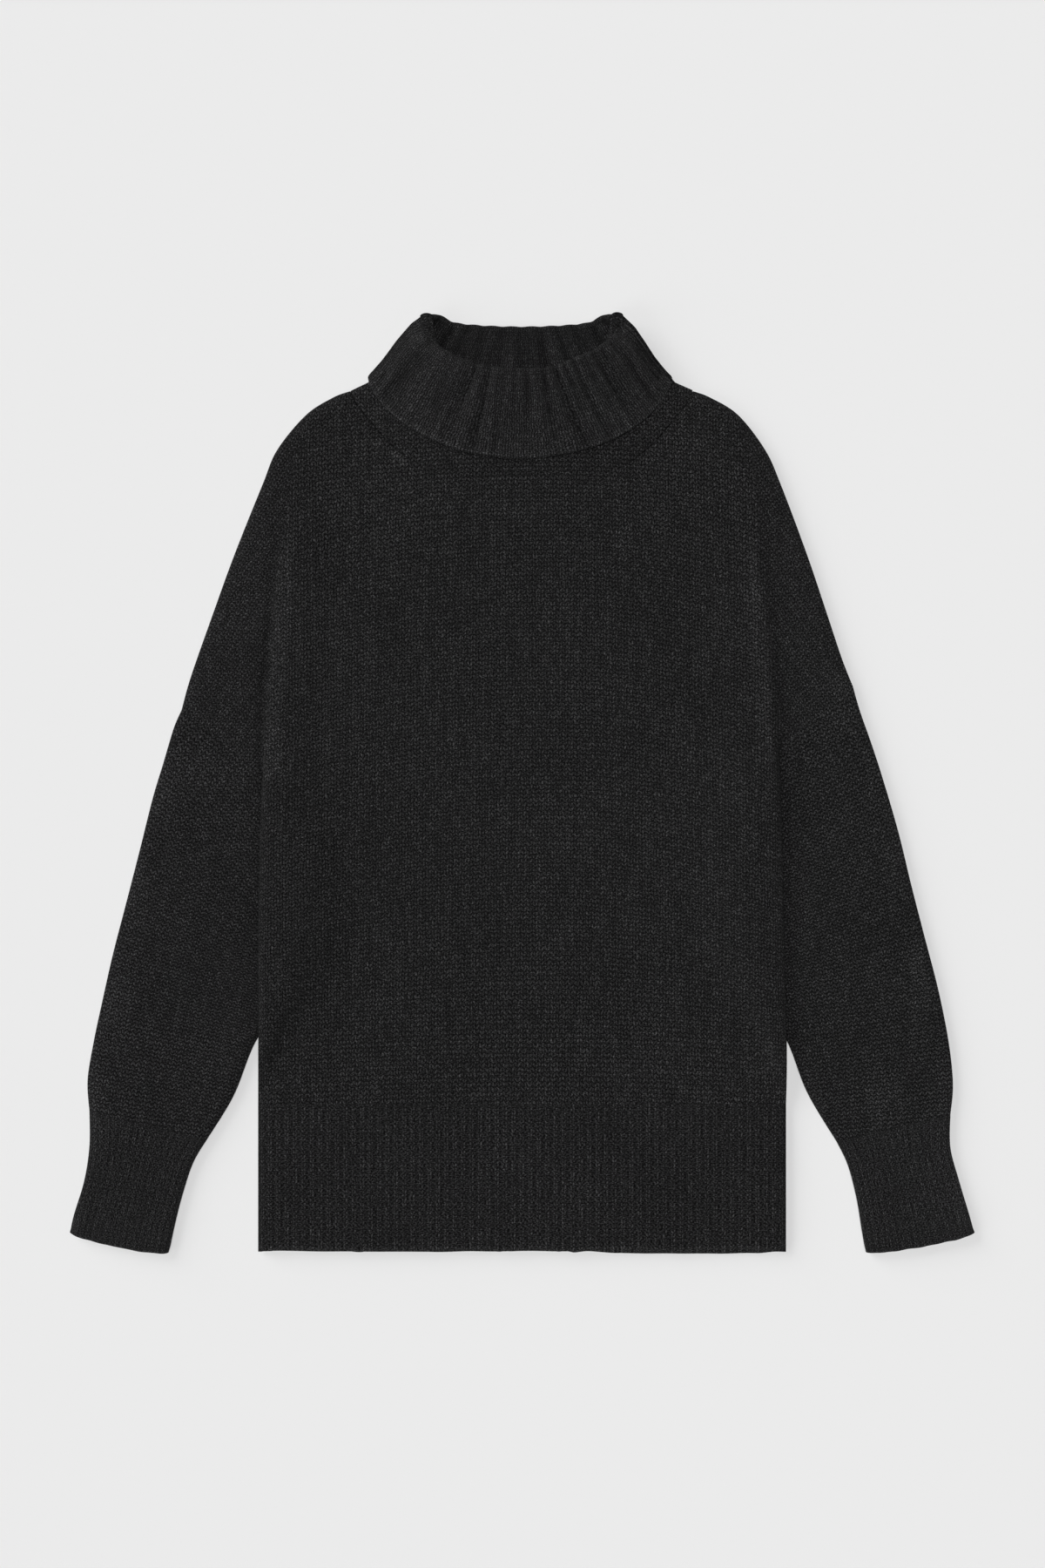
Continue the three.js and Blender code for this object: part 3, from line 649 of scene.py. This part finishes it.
def up_hem(j, edge):
    """Rows stand closer together at the open edge."""
    part = (j / HEM_ROWS) ** 1.25
    return mix(edge, HEM_TOP - SEAM_GAP, part)


HEM_COLUMNS = HEM_RIBS * STEPS_PER_RIB + 2 * EDGE_STEPS


def front_edge(x):
    """How high the front's edge hangs: wavy, and a little higher at its two corners."""
    slow, quick = noise.noise(Vector((x / 31, 0.4, 0))), noise.noise(Vector((x / 8, 2.4, 0)))
    corner = ease(abs(x - HEM_MIDDLE), HEM_HALF_WIDTH - 6, HEM_HALF_WIDTH)
    return 0.5 + 1.6 * slow + 1.1 * quick + 2.5 * corner


def back_edge(x):
    """The back's edge shows below the front's on the right."""
    peeks = ease(x, 55, 80) * (1 - ease(x, 195, 212))
    return -0.4 - 1.6 * peeks + 0.7 * noise.noise(Vector((x / 27, 5.4, 0)))


def hem_place(i, j, upper):
    x, rise, rib = across_hem(i, HEM_COLUMNS)
    edge = (front_edge if upper else back_edge)(x)
    y = up_hem(j, edge)
    out = HALF_GAP + (HALF_HEIGHT - HALF_GAP) * rise
    if not upper:
        wear_and_painted_light = BACK_EDGE_SHEEN * (1 - ease(y - edge, 1, 5))
        return Vector((x, y, HALF_HEIGHT - out + ABOVE_FLOOR)), wear_and_painted_light
    valley = rib_valley(rib) * mix(0.35, 1, ease(HEM_TOP - y, 0, 9)) * rise
    out += swell(x, y) * rise - valley - open_edge(y - edge) * rise
    return Vector((x, y, HALF_HEIGHT + out)), FRONT_EDGE_SHEEN * (1 - ease(y - edge, 1, 5))


def hem_stitch(i, j, _i, _j):
    return across_hem(i, HEM_COLUMNS)[2], up_hem(j, 0) / ROW


hem_back = knit_sheet(
    "hem_rib_back", HEM_COLUMNS, HEM_ROWS, lambda i, j: hem_place(i, j, False), hem_stitch, turned=True
)
dress(hem_back, rib_knit, "hem_back")
hem_front = knit_sheet(
    "hem_rib_front", HEM_COLUMNS, HEM_ROWS, lambda i, j: hem_place(i, j, True), hem_stitch
)
dress(hem_front, rib_knit, "hem_front")


# --------------------------------------------------------------------------------------------------
# Sleeves. Tubes of plain knit, knitted to shape, linked into the dropped armholes and folded down flat
# beside the body. Their inner edges lie under the body's sides.
# --------------------------------------------------------------------------------------------------

SLEEVE_UPPER = 72
SLEEVE_LOWER = 40
SLEEVE_LENGTH_ROWS = 130
SLEEVE_WALE = 4.7
# How steeply the rows lean outwards, in degrees, at distances down from the armhole seam
SLEEVE_LEANS = {
    "left": [(0, 38), (100, 30), (150, 26), (200, 18), (250, 12), (340, 8)],
    "right": [(0, 31), (100, 25), (150, 18), (200, 12), (250, 8), (340, 5)],
}
AXIS_STEP = 5.0
# How dark the painted shadow of the body's edge on a sleeve is, and how pale the line of linked stitches
# at the armhole is
SLEEVE_SHADE = {"left": 0.2, "right": 0.08}
ARMHOLE_PALE = {"left": 0.25, "right": 0.9}
# Paler patches on the sleeves and cuffs, most of them a painted sheen along the outer edges
SLEEVE_MARKS = [
    (-296, 380, 9, 34, 0.35), (-318, 300, 9, 40, 0.3), (-335, 215, 12, 45, 0.3),
    (-262, 395, 30, 22, 0.15), (-352, 120, 10, 40, 0.3), (-290, 250, 12, 40, 0.12),
    (330, 230, 10, 50, 0.2), (350, 130, 12, 40, 0.3), (365, 40, 9, 30, 0.45),
    (-372, 35, 8, 24, 0.35), (300, 130, 16, 30, 0.15), (262, 440, 16, 10, 0.3),
    (292, 400, 9, 36, 0.3), (310, 335, 9, 36, 0.25),
]


def round_tube(outer, inner, i, upper, lower):
    """A column's place round a flattened tube, over the top from the outer edge to the inner one and back
    below, and how far it has turned up or down."""
    above = i <= upper
    count = upper if above else lower
    k = i if above else upper + lower - i
    from_edge = min(k, count - k)
    width = (inner - outer).length
    way = (inner - outer).normalized()
    if from_edge < EDGE_STEPS:
        turn = math.radians(90) * from_edge / EDGE_STEPS
        inward = EDGE_ROUND * (1 - math.cos(turn))
        off = inward if k < count / 2 else width - inward
        rise = math.sin(turn)
    else:
        off = mix(EDGE_ROUND, width - EDGE_ROUND, (k - EDGE_STEPS) / (count - 2 * EDGE_STEPS))
        rise = 1.0
    return outer + way * off, rise if above else -rise


def tube_row(table, part):
    outer = along_curve([row[:2] for row in table], part)
    inner = along_curve([row[2:] for row in table], part)
    return outer, inner


def sleeve_part(j):
    """Part of the way down from the seam, starting just clear of it."""
    return mix(0.0005, 0.9997, 1 - j / SLEEVE_LENGTH_ROWS)


sleeve_knit = knit_material(
    "sleeve_knit", plain_stitches("sleeve_stitches", by_row=0.9, by_wale=0.6, streaked=0.25), relief=1.0
)


def sleeve_axis(side):
    """Places down the sleeve a step apart, each with the way that its wales run there."""
    table = SLEEVE_EDGES[side]
    outward = -1 if side == "left" else 1
    spot = (Vector(table[0][:2]) + Vector(table[0][2:])) / 2
    axis = []
    for step in range(90):
        lean = math.radians(between(SLEEVE_LEANS[side], step * AXIS_STEP))
        down = Vector((outward * math.sin(lean), -math.cos(lean)))
        axis.append((spot.copy(), down))
        spot += down * AXIS_STEP
    return axis


def along_axis(axis, point):
    """How far down the sleeve a place lies, and how far across its wales."""
    down_by = 0.0
    for _ in range(7):
        i = min(max(int(down_by / AXIS_STEP), 0), len(axis) - 2)
        past = down_by / AXIS_STEP - i
        down = axis[i][1].lerp(axis[i + 1][1], past)
        spot = axis[i][0] + down * (past * AXIS_STEP)
        down_by += (point - spot).dot(down)
    return down_by, (point - spot).dot(Vector((-down.y, down.x)))


def make_sleeve(side):
    table = SLEEVE_EDGES[side]
    axis = sleeve_axis(side)
    body_edge = [(row[1], row[0]) if side == "left" else (row[3], row[2]) for row in BODY_SIDES]

    def place(i, j):
        outer, inner = tube_row(table, sleeve_part(j))
        point, rise = round_tube(outer, inner, i, SLEEVE_UPPER, SLEEVE_LOWER)
        z = HALF_HEIGHT + HALF_HEIGHT * rise
        if rise > 0:
            z += swell(point.x, point.y) * rise
            z -= 0.4 * max(0.0, 1 - (SLEEVE_LENGTH_ROWS - j) / 2) ** 2 * rise
        beside = abs(point.x) - abs(between(body_edge, point.y))
        # Painted shadow of the body's edge on the sleeve
        wear_and_painted_light = -SLEEVE_SHADE[side] * bell(beside, 0, 9) * ease(420 - point.y, 0, 40)
        wear_and_painted_light += ARMHOLE_PALE[side] * max(0.0, 1 - (SLEEVE_LENGTH_ROWS - j) / 2)
        wear_and_painted_light += spots(SLEEVE_MARKS, point.x, point.y)
        return Vector((point.x, point.y, max(z, ABOVE_FLOOR))), wear_and_painted_light

    def stitch(i, j, _i, _j):
        outer, inner = tube_row(table, sleeve_part(j))
        point, _ = round_tube(outer, inner, i, SLEEVE_UPPER, SLEEVE_LOWER)
        down, across = along_axis(axis, point)
        return across / SLEEVE_WALE, -down / ROW

    piece = knit_sheet(
        "sleeve_knit_" + side, SLEEVE_UPPER + SLEEVE_LOWER, SLEEVE_LENGTH_ROWS, place, stitch,
        tube=True, turned=side == "right",
    )
    dress(piece, sleeve_knit, "sleeve_" + side)


for side in ("left", "right"):
    make_sleeve(side)


# --------------------------------------------------------------------------------------------------
# Cuffs. Short tubes of one-by-one rib knitted on to the sleeves' narrow ends, with a soft open edge that
# bows a little.
# --------------------------------------------------------------------------------------------------

CUFF_EDGES = {
    "left": [
        (-357.1, 115.9, -259.9, 92.2),
        (-357.1, 87.1, -271.4, 72.7),
        (-361.4, 58.3, -280.8, 43.9),
        (-370.1, 29.5, -286.9, 19.4),
        (-373.3, 13.7, -291.6, -3.6),
    ],
    "right": [
        (355.7, 113.0, 261.4, 90.7),
        (355.7, 85.7, 270.7, 71.3),
        (362.9, 58.3, 277.9, 43.9),
        (371.5, 29.5, 282.2, 18.0),
        (375.8, 13.7, 285.8, -2.9),
    ],
}
CUFF_RIBS = 13
CUFF_RIB_WIDTH = 5.6
CUFF_UPPER = CUFF_RIBS * STEPS_PER_RIB + 2 * EDGE_STEPS
CUFF_LOWER = 48
CUFF_ROWS = 40
CUFF_LENGTH = 108
CUFF_PALE = 0.12
# How far the edge bows up towards its sides, and how far more its corners do
CUFF_BOW, CUFF_CORNERS = 2.2, 2.0


def cuff_part(j):
    return mix(0.0005, 1, 1 - (j / CUFF_ROWS) ** 1.2)


def cuff_rib(i):
    """A column's place round the cuff, counted in ribs."""
    if i > CUFF_UPPER:
        return CUFF_RIBS + 2.8 + CUFF_RIBS * (i - CUFF_UPPER) / CUFF_LOWER
    from_edge = min(i, CUFF_UPPER - i)
    if from_edge >= EDGE_STEPS:
        return 0.5 + CUFF_RIBS * (i - EDGE_STEPS) / (CUFF_UPPER - 2 * EDGE_STEPS)
    turn = math.radians(90) * from_edge / EDGE_STEPS
    rib = 0.5 - (EDGE_ROUND * math.cos(turn) + HALF_HEIGHT * (1 - math.sin(turn))) / CUFF_RIB_WIDTH
    return rib if i < CUFF_UPPER / 2 else CUFF_RIBS + 1 - rib


def make_cuff(side):
    table = CUFF_EDGES[side]

    def place(i, j):
        outer, inner = tube_row(table, cuff_part(j))
        point, rise = round_tube(outer, inner, i, CUFF_UPPER, CUFF_LOWER)
        down = (1 - cuff_part(j)) * CUFF_LENGTH
        aside = (2 * point - outer - inner).length / (inner - outer).length
        bowed = CUFF_BOW * aside**2 + CUFF_CORNERS * aside**9 - 2.0
        ripple = (0.9 * noise.noise(Vector((point.x / 11, 1.3, 0))) + bowed) * (1 - ease(down, 0, 14))
        z = HALF_HEIGHT + HALF_HEIGHT * rise
        if rise > 0:
            z += (swell(point.x, point.y) - rib_valley(cuff_rib(i)) * ease(rise, 0.6, 1)) * rise
            z -= open_edge(down) * rise
        wear_and_painted_light = CUFF_PALE + CUFF_EDGE_SHEEN * (1 - ease(down, 1, 6))
        wear_and_painted_light += spots(SLEEVE_MARKS, point.x, point.y)
        return Vector((point.x, point.y + ripple, max(z, ABOVE_FLOOR))), wear_and_painted_light

    def stitch(i, j, face_i, _j):
        rib = cuff_rib(i)
        if i == 0 and face_i > CUFF_UPPER:
            rib = cuff_rib(CUFF_UPPER + CUFF_LOWER)
        return rib, -cuff_part(j) * CUFF_LENGTH / ROW

    piece = knit_sheet(
        "cuff_rib_" + side, CUFF_UPPER + CUFF_LOWER, CUFF_ROWS, place, stitch,
        tube=True, turned=side == "right",
    )
    dress(piece, rib_knit, "cuff_" + side)


for side in ("left", "right"):
    make_cuff(side)


# --------------------------------------------------------------------------------------------------
# Neck band. A plain ring linked to the neck seam, which carries the collar; most of it is hidden under
# the fall.
# --------------------------------------------------------------------------------------------------

FALL_HALF_WIDTH, RIM_HALF_WIDTH = 129.0, 79.0
FALL_TOP, RIM_TOP = 17.5, 31.0
FALL_SIDE_Y, RIM_SIDE_Y = 720.7, 775.4
# How far the front and the back of the two rings hang below their sides, and the power that bows them
FALL_FRONT, FALL_BACK = (66.2, 0.65), (18.0, 0.5)
RIM_FRONT, RIM_BACK = (46.0, 0.375), (10.0, 0.5)
COLLAR_GAP = 0.9
FRONT_RIBS, BACK_RIBS = 16, 12
COLLAR_STEPS = 10
COLLAR_COLUMNS = (FRONT_RIBS + BACK_RIBS) * COLLAR_STEPS
BAND_ROWS = 18


def round_neck(i):
    """A column's place round the neck: whether it is in front, how far across, and the place in ribs."""
    rib = i / COLLAR_STEPS
    front_half = rib <= FRONT_RIBS
    part = rib / FRONT_RIBS if front_half else (rib - FRONT_RIBS) / BACK_RIBS
    even = 0.4 * math.cos(math.pi * part) + 0.6 * (1 - 2 * part)
    return front_half, even if front_half else -even, rib


def on_collar(front_half, across, part, depth):
    """A place on the collar, part of the way from the fall's lower edge to the rim, at a depth below its
    skin."""
    bow = 1 - across * across
    low = FALL_FRONT if front_half else FALL_BACK
    high = RIM_FRONT if front_half else RIM_BACK
    y = mix(FALL_SIDE_Y - low[0] * bow ** low[1], RIM_SIDE_Y - high[0] * bow ** high[1], part)
    reach = mix(FALL_HALF_WIDTH, RIM_HALF_WIDTH, part) - depth
    top = mix(FALL_TOP, RIM_TOP, part) - depth
    middle = (top + depth) / 2
    if front_half:
        z = middle + (top - middle) * math.sqrt(max(0, 1 - abs(across) ** 2.5))
    else:
        z = middle - (middle - depth) * math.sqrt(max(0, 1 - abs(across) ** 6))
    return Vector((NECK_X + reach * across, y, z))


def neck_line(lines, sag):
    line = lines[-1]
    return [tuple(across_panel(line, sag, i, PANEL_COLUMNS)[0]) for i in range(PANEL_COLUMNS + 1)]


FRONT_SEAM = neck_line(front_lines, front_sag)
BACK_SEAM = neck_line(back_lines, back_sag)


def band_place(i, j):
    front_half, across, _ = round_neck(i)
    x = (NECK_HALF_WIDTH - 0.5) * across
    from_side = min(1, (1 - abs(across)) * NECK_HALF_WIDTH / EDGE_ROUND * 2)
    rise = math.sqrt(max(0.0, 1 - (1 - from_side) ** 2))
    y = between(FRONT_SEAM if front_half else BACK_SEAM, NECK_X + x) + SEAM_GAP + 1.2 * (1 - rise)
    seam = Vector((NECK_X + x, y, HALF_HEIGHT + (HALF_HEIGHT if front_half else -HALF_HEIGHT) * rise))
    depth = WALL + WALL_SPARE + COLLAR_GAP + 0.3
    under = on_collar(front_half, across, -0.04, depth)
    stand = on_collar(front_half, across, 0.095, depth - 0.1)
    turn = BAND_ROWS * 2 // 3
    if j >= turn:
        return under.lerp(stand, (j - turn) / (BAND_ROWS - turn)), 0.0
    part = j / turn
    spot = seam.lerp(under, part)
    if front_half:
        spot.z += (0.8 * math.sin(math.pi * part) - seam_dip(j, x)) * rise
        # Painted light over the seam's shade in the middle
        return spot, seam_painted_light(j, x)
    return spot, 0.0


def band_stitch(i, j, _i, _j):
    spot, _ = band_place(i, j)
    return spot.x / WALE, knit_rows(spot.x, spot.y) / ROW


neck_band = knit_sheet(
    "neck_ring", COLLAR_COLUMNS, BAND_ROWS, band_place, band_stitch, tube=True, turned=True
)
dress(neck_band, plain_knit, "neck_band")


# --------------------------------------------------------------------------------------------------
# Collar. A wide turtleneck in two-by-two rib, turned down over itself at the rim: the stand inside comes
# up from the neck band and the fall outside hangs over it, with ribs that fan out and a few deeper
# creases.
# --------------------------------------------------------------------------------------------------

FALL_ROWS, RIM_ROWS, STAND_ROWS = 36, 12, 26
# The valleys of the fall's front, from the right side to the left: how far across they lie at the rim and
# at the fall's edge, how deep they are, and the part of the way up where they start to fade downwards
FRONT_VALLEYS = [
    (1.0, 1.0, 0.3, 0.3),
    (0.985, 0.985, 0.5, 0.3),
    (0.915, 0.9, 0.7, 0.3),
    (0.74, 0.76, 1.1, 0.45),
    (0.64, 0.66, 0.4, 0.5),
    (0.535, 0.575, 0.8, 0.4),
    (0.44, 0.5, 0.3, 0.5),
    (0.35, 0.435, 1.7, 0.35),
    (0.225, 0.22, 1.2, 0.45),
    (0.065, 0.05, 0.7, 0.5),
    (-0.06, -0.06, 0.3, 0.4),
    (-0.185, -0.165, 0.5, 0.3),
    (-0.34, -0.335, 1.6, 0.3),
    (-0.48, -0.52, 1.4, 0.55),
    (-0.68, -0.68, 0.3, 0.4),
    (-0.93, -0.91, 0.5, 0.2),
    (-1.0, -1.0, 0.3, 0.4),
]
BACK_VALLEY = 1.3
VALLEYS_DEEPEN = 1.6
# How much fuller than straight the collar's two side outlines are, at parts of the way up the fall
LEFT_FULLNESS = [(0, -1.5), (0.1, 0.8), (0.28, 1.1), (0.57, 4.2), (0.85, 4.8), (0.95, 2.8)]
RIGHT_FULLNESS = [(0, -3.5), (0.14, -2.6), (0.34, -1.4), (0.59, 2.0), (0.77, 3.8), (0.95, 2.8)]
COLLAR_WALE, COLLAR_ROW = 3.9, 3.3
# How far apart the mesh's rows are on the fall, the rim and the stand
FALL_STEP, RIM_STEP, STAND_STEP = 2.05, 0.85, 2.3
# How much paler the fall is, the painted highlight on the rim in front and at the back, the painted shade
# on the stand inside, and the painted shade in the valleys on the fall and further on
FALL_PALE, RIM_HIGHLIGHT, RIM_BACK_HIGHLIGHT, STAND_SHADE = 0.1, 0.15, 0.05, -0.08
FALL_VALLEY_SHADE, VALLEY_SHADE = 0.38, 0.3
RIM_PART = 0.95


def collar_across(i, part):
    """How far across a column stands; in front it keeps to its rib, and the ribs fan out unevenly."""
    front_half, across, rib = round_neck(i)
    if front_half:
        k = min(int(rib), FRONT_RIBS - 1)
        at, after = FRONT_VALLEYS[k], FRONT_VALLEYS[k + 1]
        across = mix(mix(at[1], at[0], part), mix(after[1], after[0], part), rib - k)
    return front_half, across, rib


def collar_valley(front_half, rib, part):
    """How deep a valley is, from its own depth and fading, and how much of a valley a place is."""
    shape = (0.5 + 0.5 * math.cos(2 * math.pi * rib)) ** 1.3
    if not front_half:
        return BACK_VALLEY * shape, shape
    _, _, deep, fades = FRONT_VALLEYS[round(rib)]
    deep *= VALLEYS_DEEPEN * mix(0.3, 1, ease(part, fades - 0.25, fades + 0.1))
    return deep * shape, min(1.0, deep) * shape


def collar_thick(across, part):
    """From the fall's skin to the stand's; the fold is thicker and rounder at the neck's two sides."""
    walls = 2 * WALL + 2 * WALL_SPARE
    return walls + COLLAR_GAP + 5 * ease(abs(across), 0.8, 1) * ease(part, 0.6, RIM_PART)


def collar_form(front_half, across, part, depth):
    """A place on the collar with its own unevenness: fuller sides, a front rim that stands higher on the
    right, and a back rim that rises to round corners."""
    side = ease(abs(across), 0.7, 1)
    spot = on_collar(front_half, across, part, depth)
    spot.x += side * (between(RIGHT_FULLNESS, part) if across > 0 else -between(LEFT_FULLNESS, part))
    spot.y -= 0.6 * side * ease(part, 0.8, RIM_PART)
    if front_half:
        spot.y += 3.0 * ease(across, 0.35, 0.6) * (1 - ease(across, 0.85, 0.97)) * part * part
    else:
        spot.y += 4.4 * bell(abs(across), 0.87, 0.1) * ease(part, 0.5, RIM_PART)
    return spot + Vector((0, 0, ABOVE_FLOOR))


def collar_place(i, j):
    if j <= FALL_ROWS:
        part = RIM_PART * j / FALL_ROWS
        front_half, across, rib = collar_across(i, part)
        depth, valley = collar_valley(front_half, rib, part)
        uneven = 0.6 * noise.noise(Vector((rib * 0.8, part * 2.5, 9.1)))
        # Painted shade in the fall's valleys
        wear_and_painted_light = FALL_PALE - FALL_VALLEY_SHADE * valley
        # Painted highlight on the collar's two side corners
        wear_and_painted_light += 0.2 * ease(abs(across), 0.85, 0.97) * ease(part, 0.4, 0.9)
        if not front_half:
            return collar_form(front_half, across, part, 0.3 * depth), wear_and_painted_light
        ragged = 1 + 0.9 * noise.noise(Vector((i / 7, 4.2, 0)))
        depth += 1.5 * max(0.0, 1 - part / 0.04) ** 2 - 0.8 * ragged * bell(part, 0.05, 0.045)
        depth -= uneven * ease(part, 0, 0.2)
        # Painted sheen on the fall's curled lower edge, and a painted highlight towards the rim
        wear_and_painted_light += 0.5 * ragged * (1 - ease(part, 0.02, 0.09)) + 0.1 * ease(part, 0.8, RIM_PART)
        spot = collar_form(front_half, across, part, depth)
        spot.y += 0.8 * noise.noise(Vector((i / 9, 1.7, 0))) * (1 - ease(part, 0, 0.2))
        return spot, wear_and_painted_light
    if j <= FALL_ROWS + RIM_ROWS:
        front_half, across, rib = collar_across(i, RIM_PART)
        depth, valley = collar_valley(front_half, rib, RIM_PART)
        turn = math.pi * (j - FALL_ROWS) / RIM_ROWS
        half = collar_thick(across, RIM_PART) / 2
        radius = half - depth * mix(1 if front_half else 0.3, 1, math.sin(turn / 2) ** 2) * 0.7
        spot = collar_form(front_half, across, RIM_PART, half - radius * math.cos(turn))
        spot.y += radius * math.sin(turn) * mix(1, 0.6, ease(abs(across), 0.8, 1))
        # Painted highlight along the rim, patchy in front, with painted shade in the valleys
        patchy = 0.12 * noise.noise(Vector((rib * 1.3, 6.6, 0)))
        light = RIM_HIGHLIGHT + patchy if front_half else RIM_BACK_HIGHLIGHT
        return spot, light - VALLEY_SHADE * valley
    part = mix(RIM_PART, 0.12, (j - FALL_ROWS - RIM_ROWS) / STAND_ROWS)
    front_half, across, rib = collar_across(i, part)
    depth, valley = collar_valley(front_half, rib, 1.0)
    spot = collar_form(front_half, across, part, collar_thick(across, part) - depth)
    # Painted shade on the stand inside the collar and in its valleys, deeper towards its inner corners
    return spot, STAND_SHADE - VALLEY_SHADE * valley - 0.15 * ease(abs(across), 0.55, 0.85)


# Wales and rows counted round the collar and down it, from the lengths of its middle line
around = [0.0]
for i in range(COLLAR_COLUMNS):
    here, there = (on_collar(*collar_across(k, 0.5)[:2], 0.5, 0) for k in (i, i + 1))
    around.append(around[-1] + (there - here).length / COLLAR_WALE)


def collar_stitch(i, j, _i, _j):
    fall, rim = min(j, FALL_ROWS), min(max(j - FALL_ROWS, 0), RIM_ROWS)
    stand = max(j - FALL_ROWS - RIM_ROWS, 0)
    return around[i], (fall * FALL_STEP + rim * RIM_STEP + stand * STAND_STEP) / COLLAR_ROW


collar_knit = knit_material(
    "collar_knit", plain_stitches("collar_stitches", by_row=0.3, by_wale=1.3, streaked=0.9), relief=0.9
)
collar = knit_sheet(
    "turned_collar", COLLAR_COLUMNS, FALL_ROWS + RIM_ROWS + STAND_ROWS, collar_place, collar_stitch,
    tube=True, turned=True,
)
dress(collar, collar_knit, "collar")


# --------------------------------------------------------------------------------------------------
# Where it is photographed: a pale seamless floor, even light from overhead, softer lights low from the
# left, and a camera straight above with a long lens.
# --------------------------------------------------------------------------------------------------

FLOOR_HALF_WIDTH = 6
CAMERA_HEIGHT = 3.6

bm = bmesh.new()
bmesh.ops.create_grid(bm, x_segments=1, y_segments=1, size=FLOOR_HALF_WIDTH)
floor_mesh = bpy.data.meshes.new("floor")
bm.to_mesh(floor_mesh)
bm.free()
floor = bpy.data.objects.new("floor", floor_mesh)
bpy.context.collection.objects.link(floor)
paper = bpy.data.materials.new("seamless_paper")
paper.use_nodes = True
paper.node_tree.nodes["Principled BSDF"].inputs["Base Color"].default_value = (0.8, 0.8, 0.8, 1)
paper.node_tree.nodes["Principled BSDF"].inputs["Roughness"].default_value = 1.0
paper.node_tree.nodes["Principled BSDF"].inputs["Specular IOR Level"].default_value = 0.0
floor_mesh.materials.append(paper)

world = bpy.data.worlds.new("studio")
bpy.context.scene.world = world
world.use_nodes = True
world.node_tree.nodes["Background"].inputs["Color"].default_value = (1, 1, 1, 1)
world.node_tree.nodes["Background"].inputs["Strength"].default_value = 0.04


def soft_sun(name, way, strength, spread):
    lamp = bpy.data.lights.new(name, "SUN")
    lamp.energy = strength
    lamp.angle = math.radians(spread)
    lit = bpy.data.objects.new(name, lamp)
    lit.rotation_euler = Vector(way).to_track_quat("Z", "Y").to_euler()
    bpy.context.collection.objects.link(lit)


soft_sun("overhead", (0, 0, 1), 2.45, 14)
soft_sun("upper_left", (-0.754, 0.529, 0.391), 1.26, 40)
soft_sun("lower_left", (-0.832, -0.394, 0.391), 0.5, 40)

camera = bpy.data.objects.new("camera", bpy.data.cameras.new("camera"))
camera.data.lens = 100
camera.data.sensor_width = 36
camera.location = (0.0002, 0.001, CAMERA_HEIGHT + 2 * HALF_HEIGHT * MM)
bpy.context.collection.objects.link(camera)
bpy.context.scene.camera = camera
bpy.context.scene.view_settings.view_transform = "Standard"
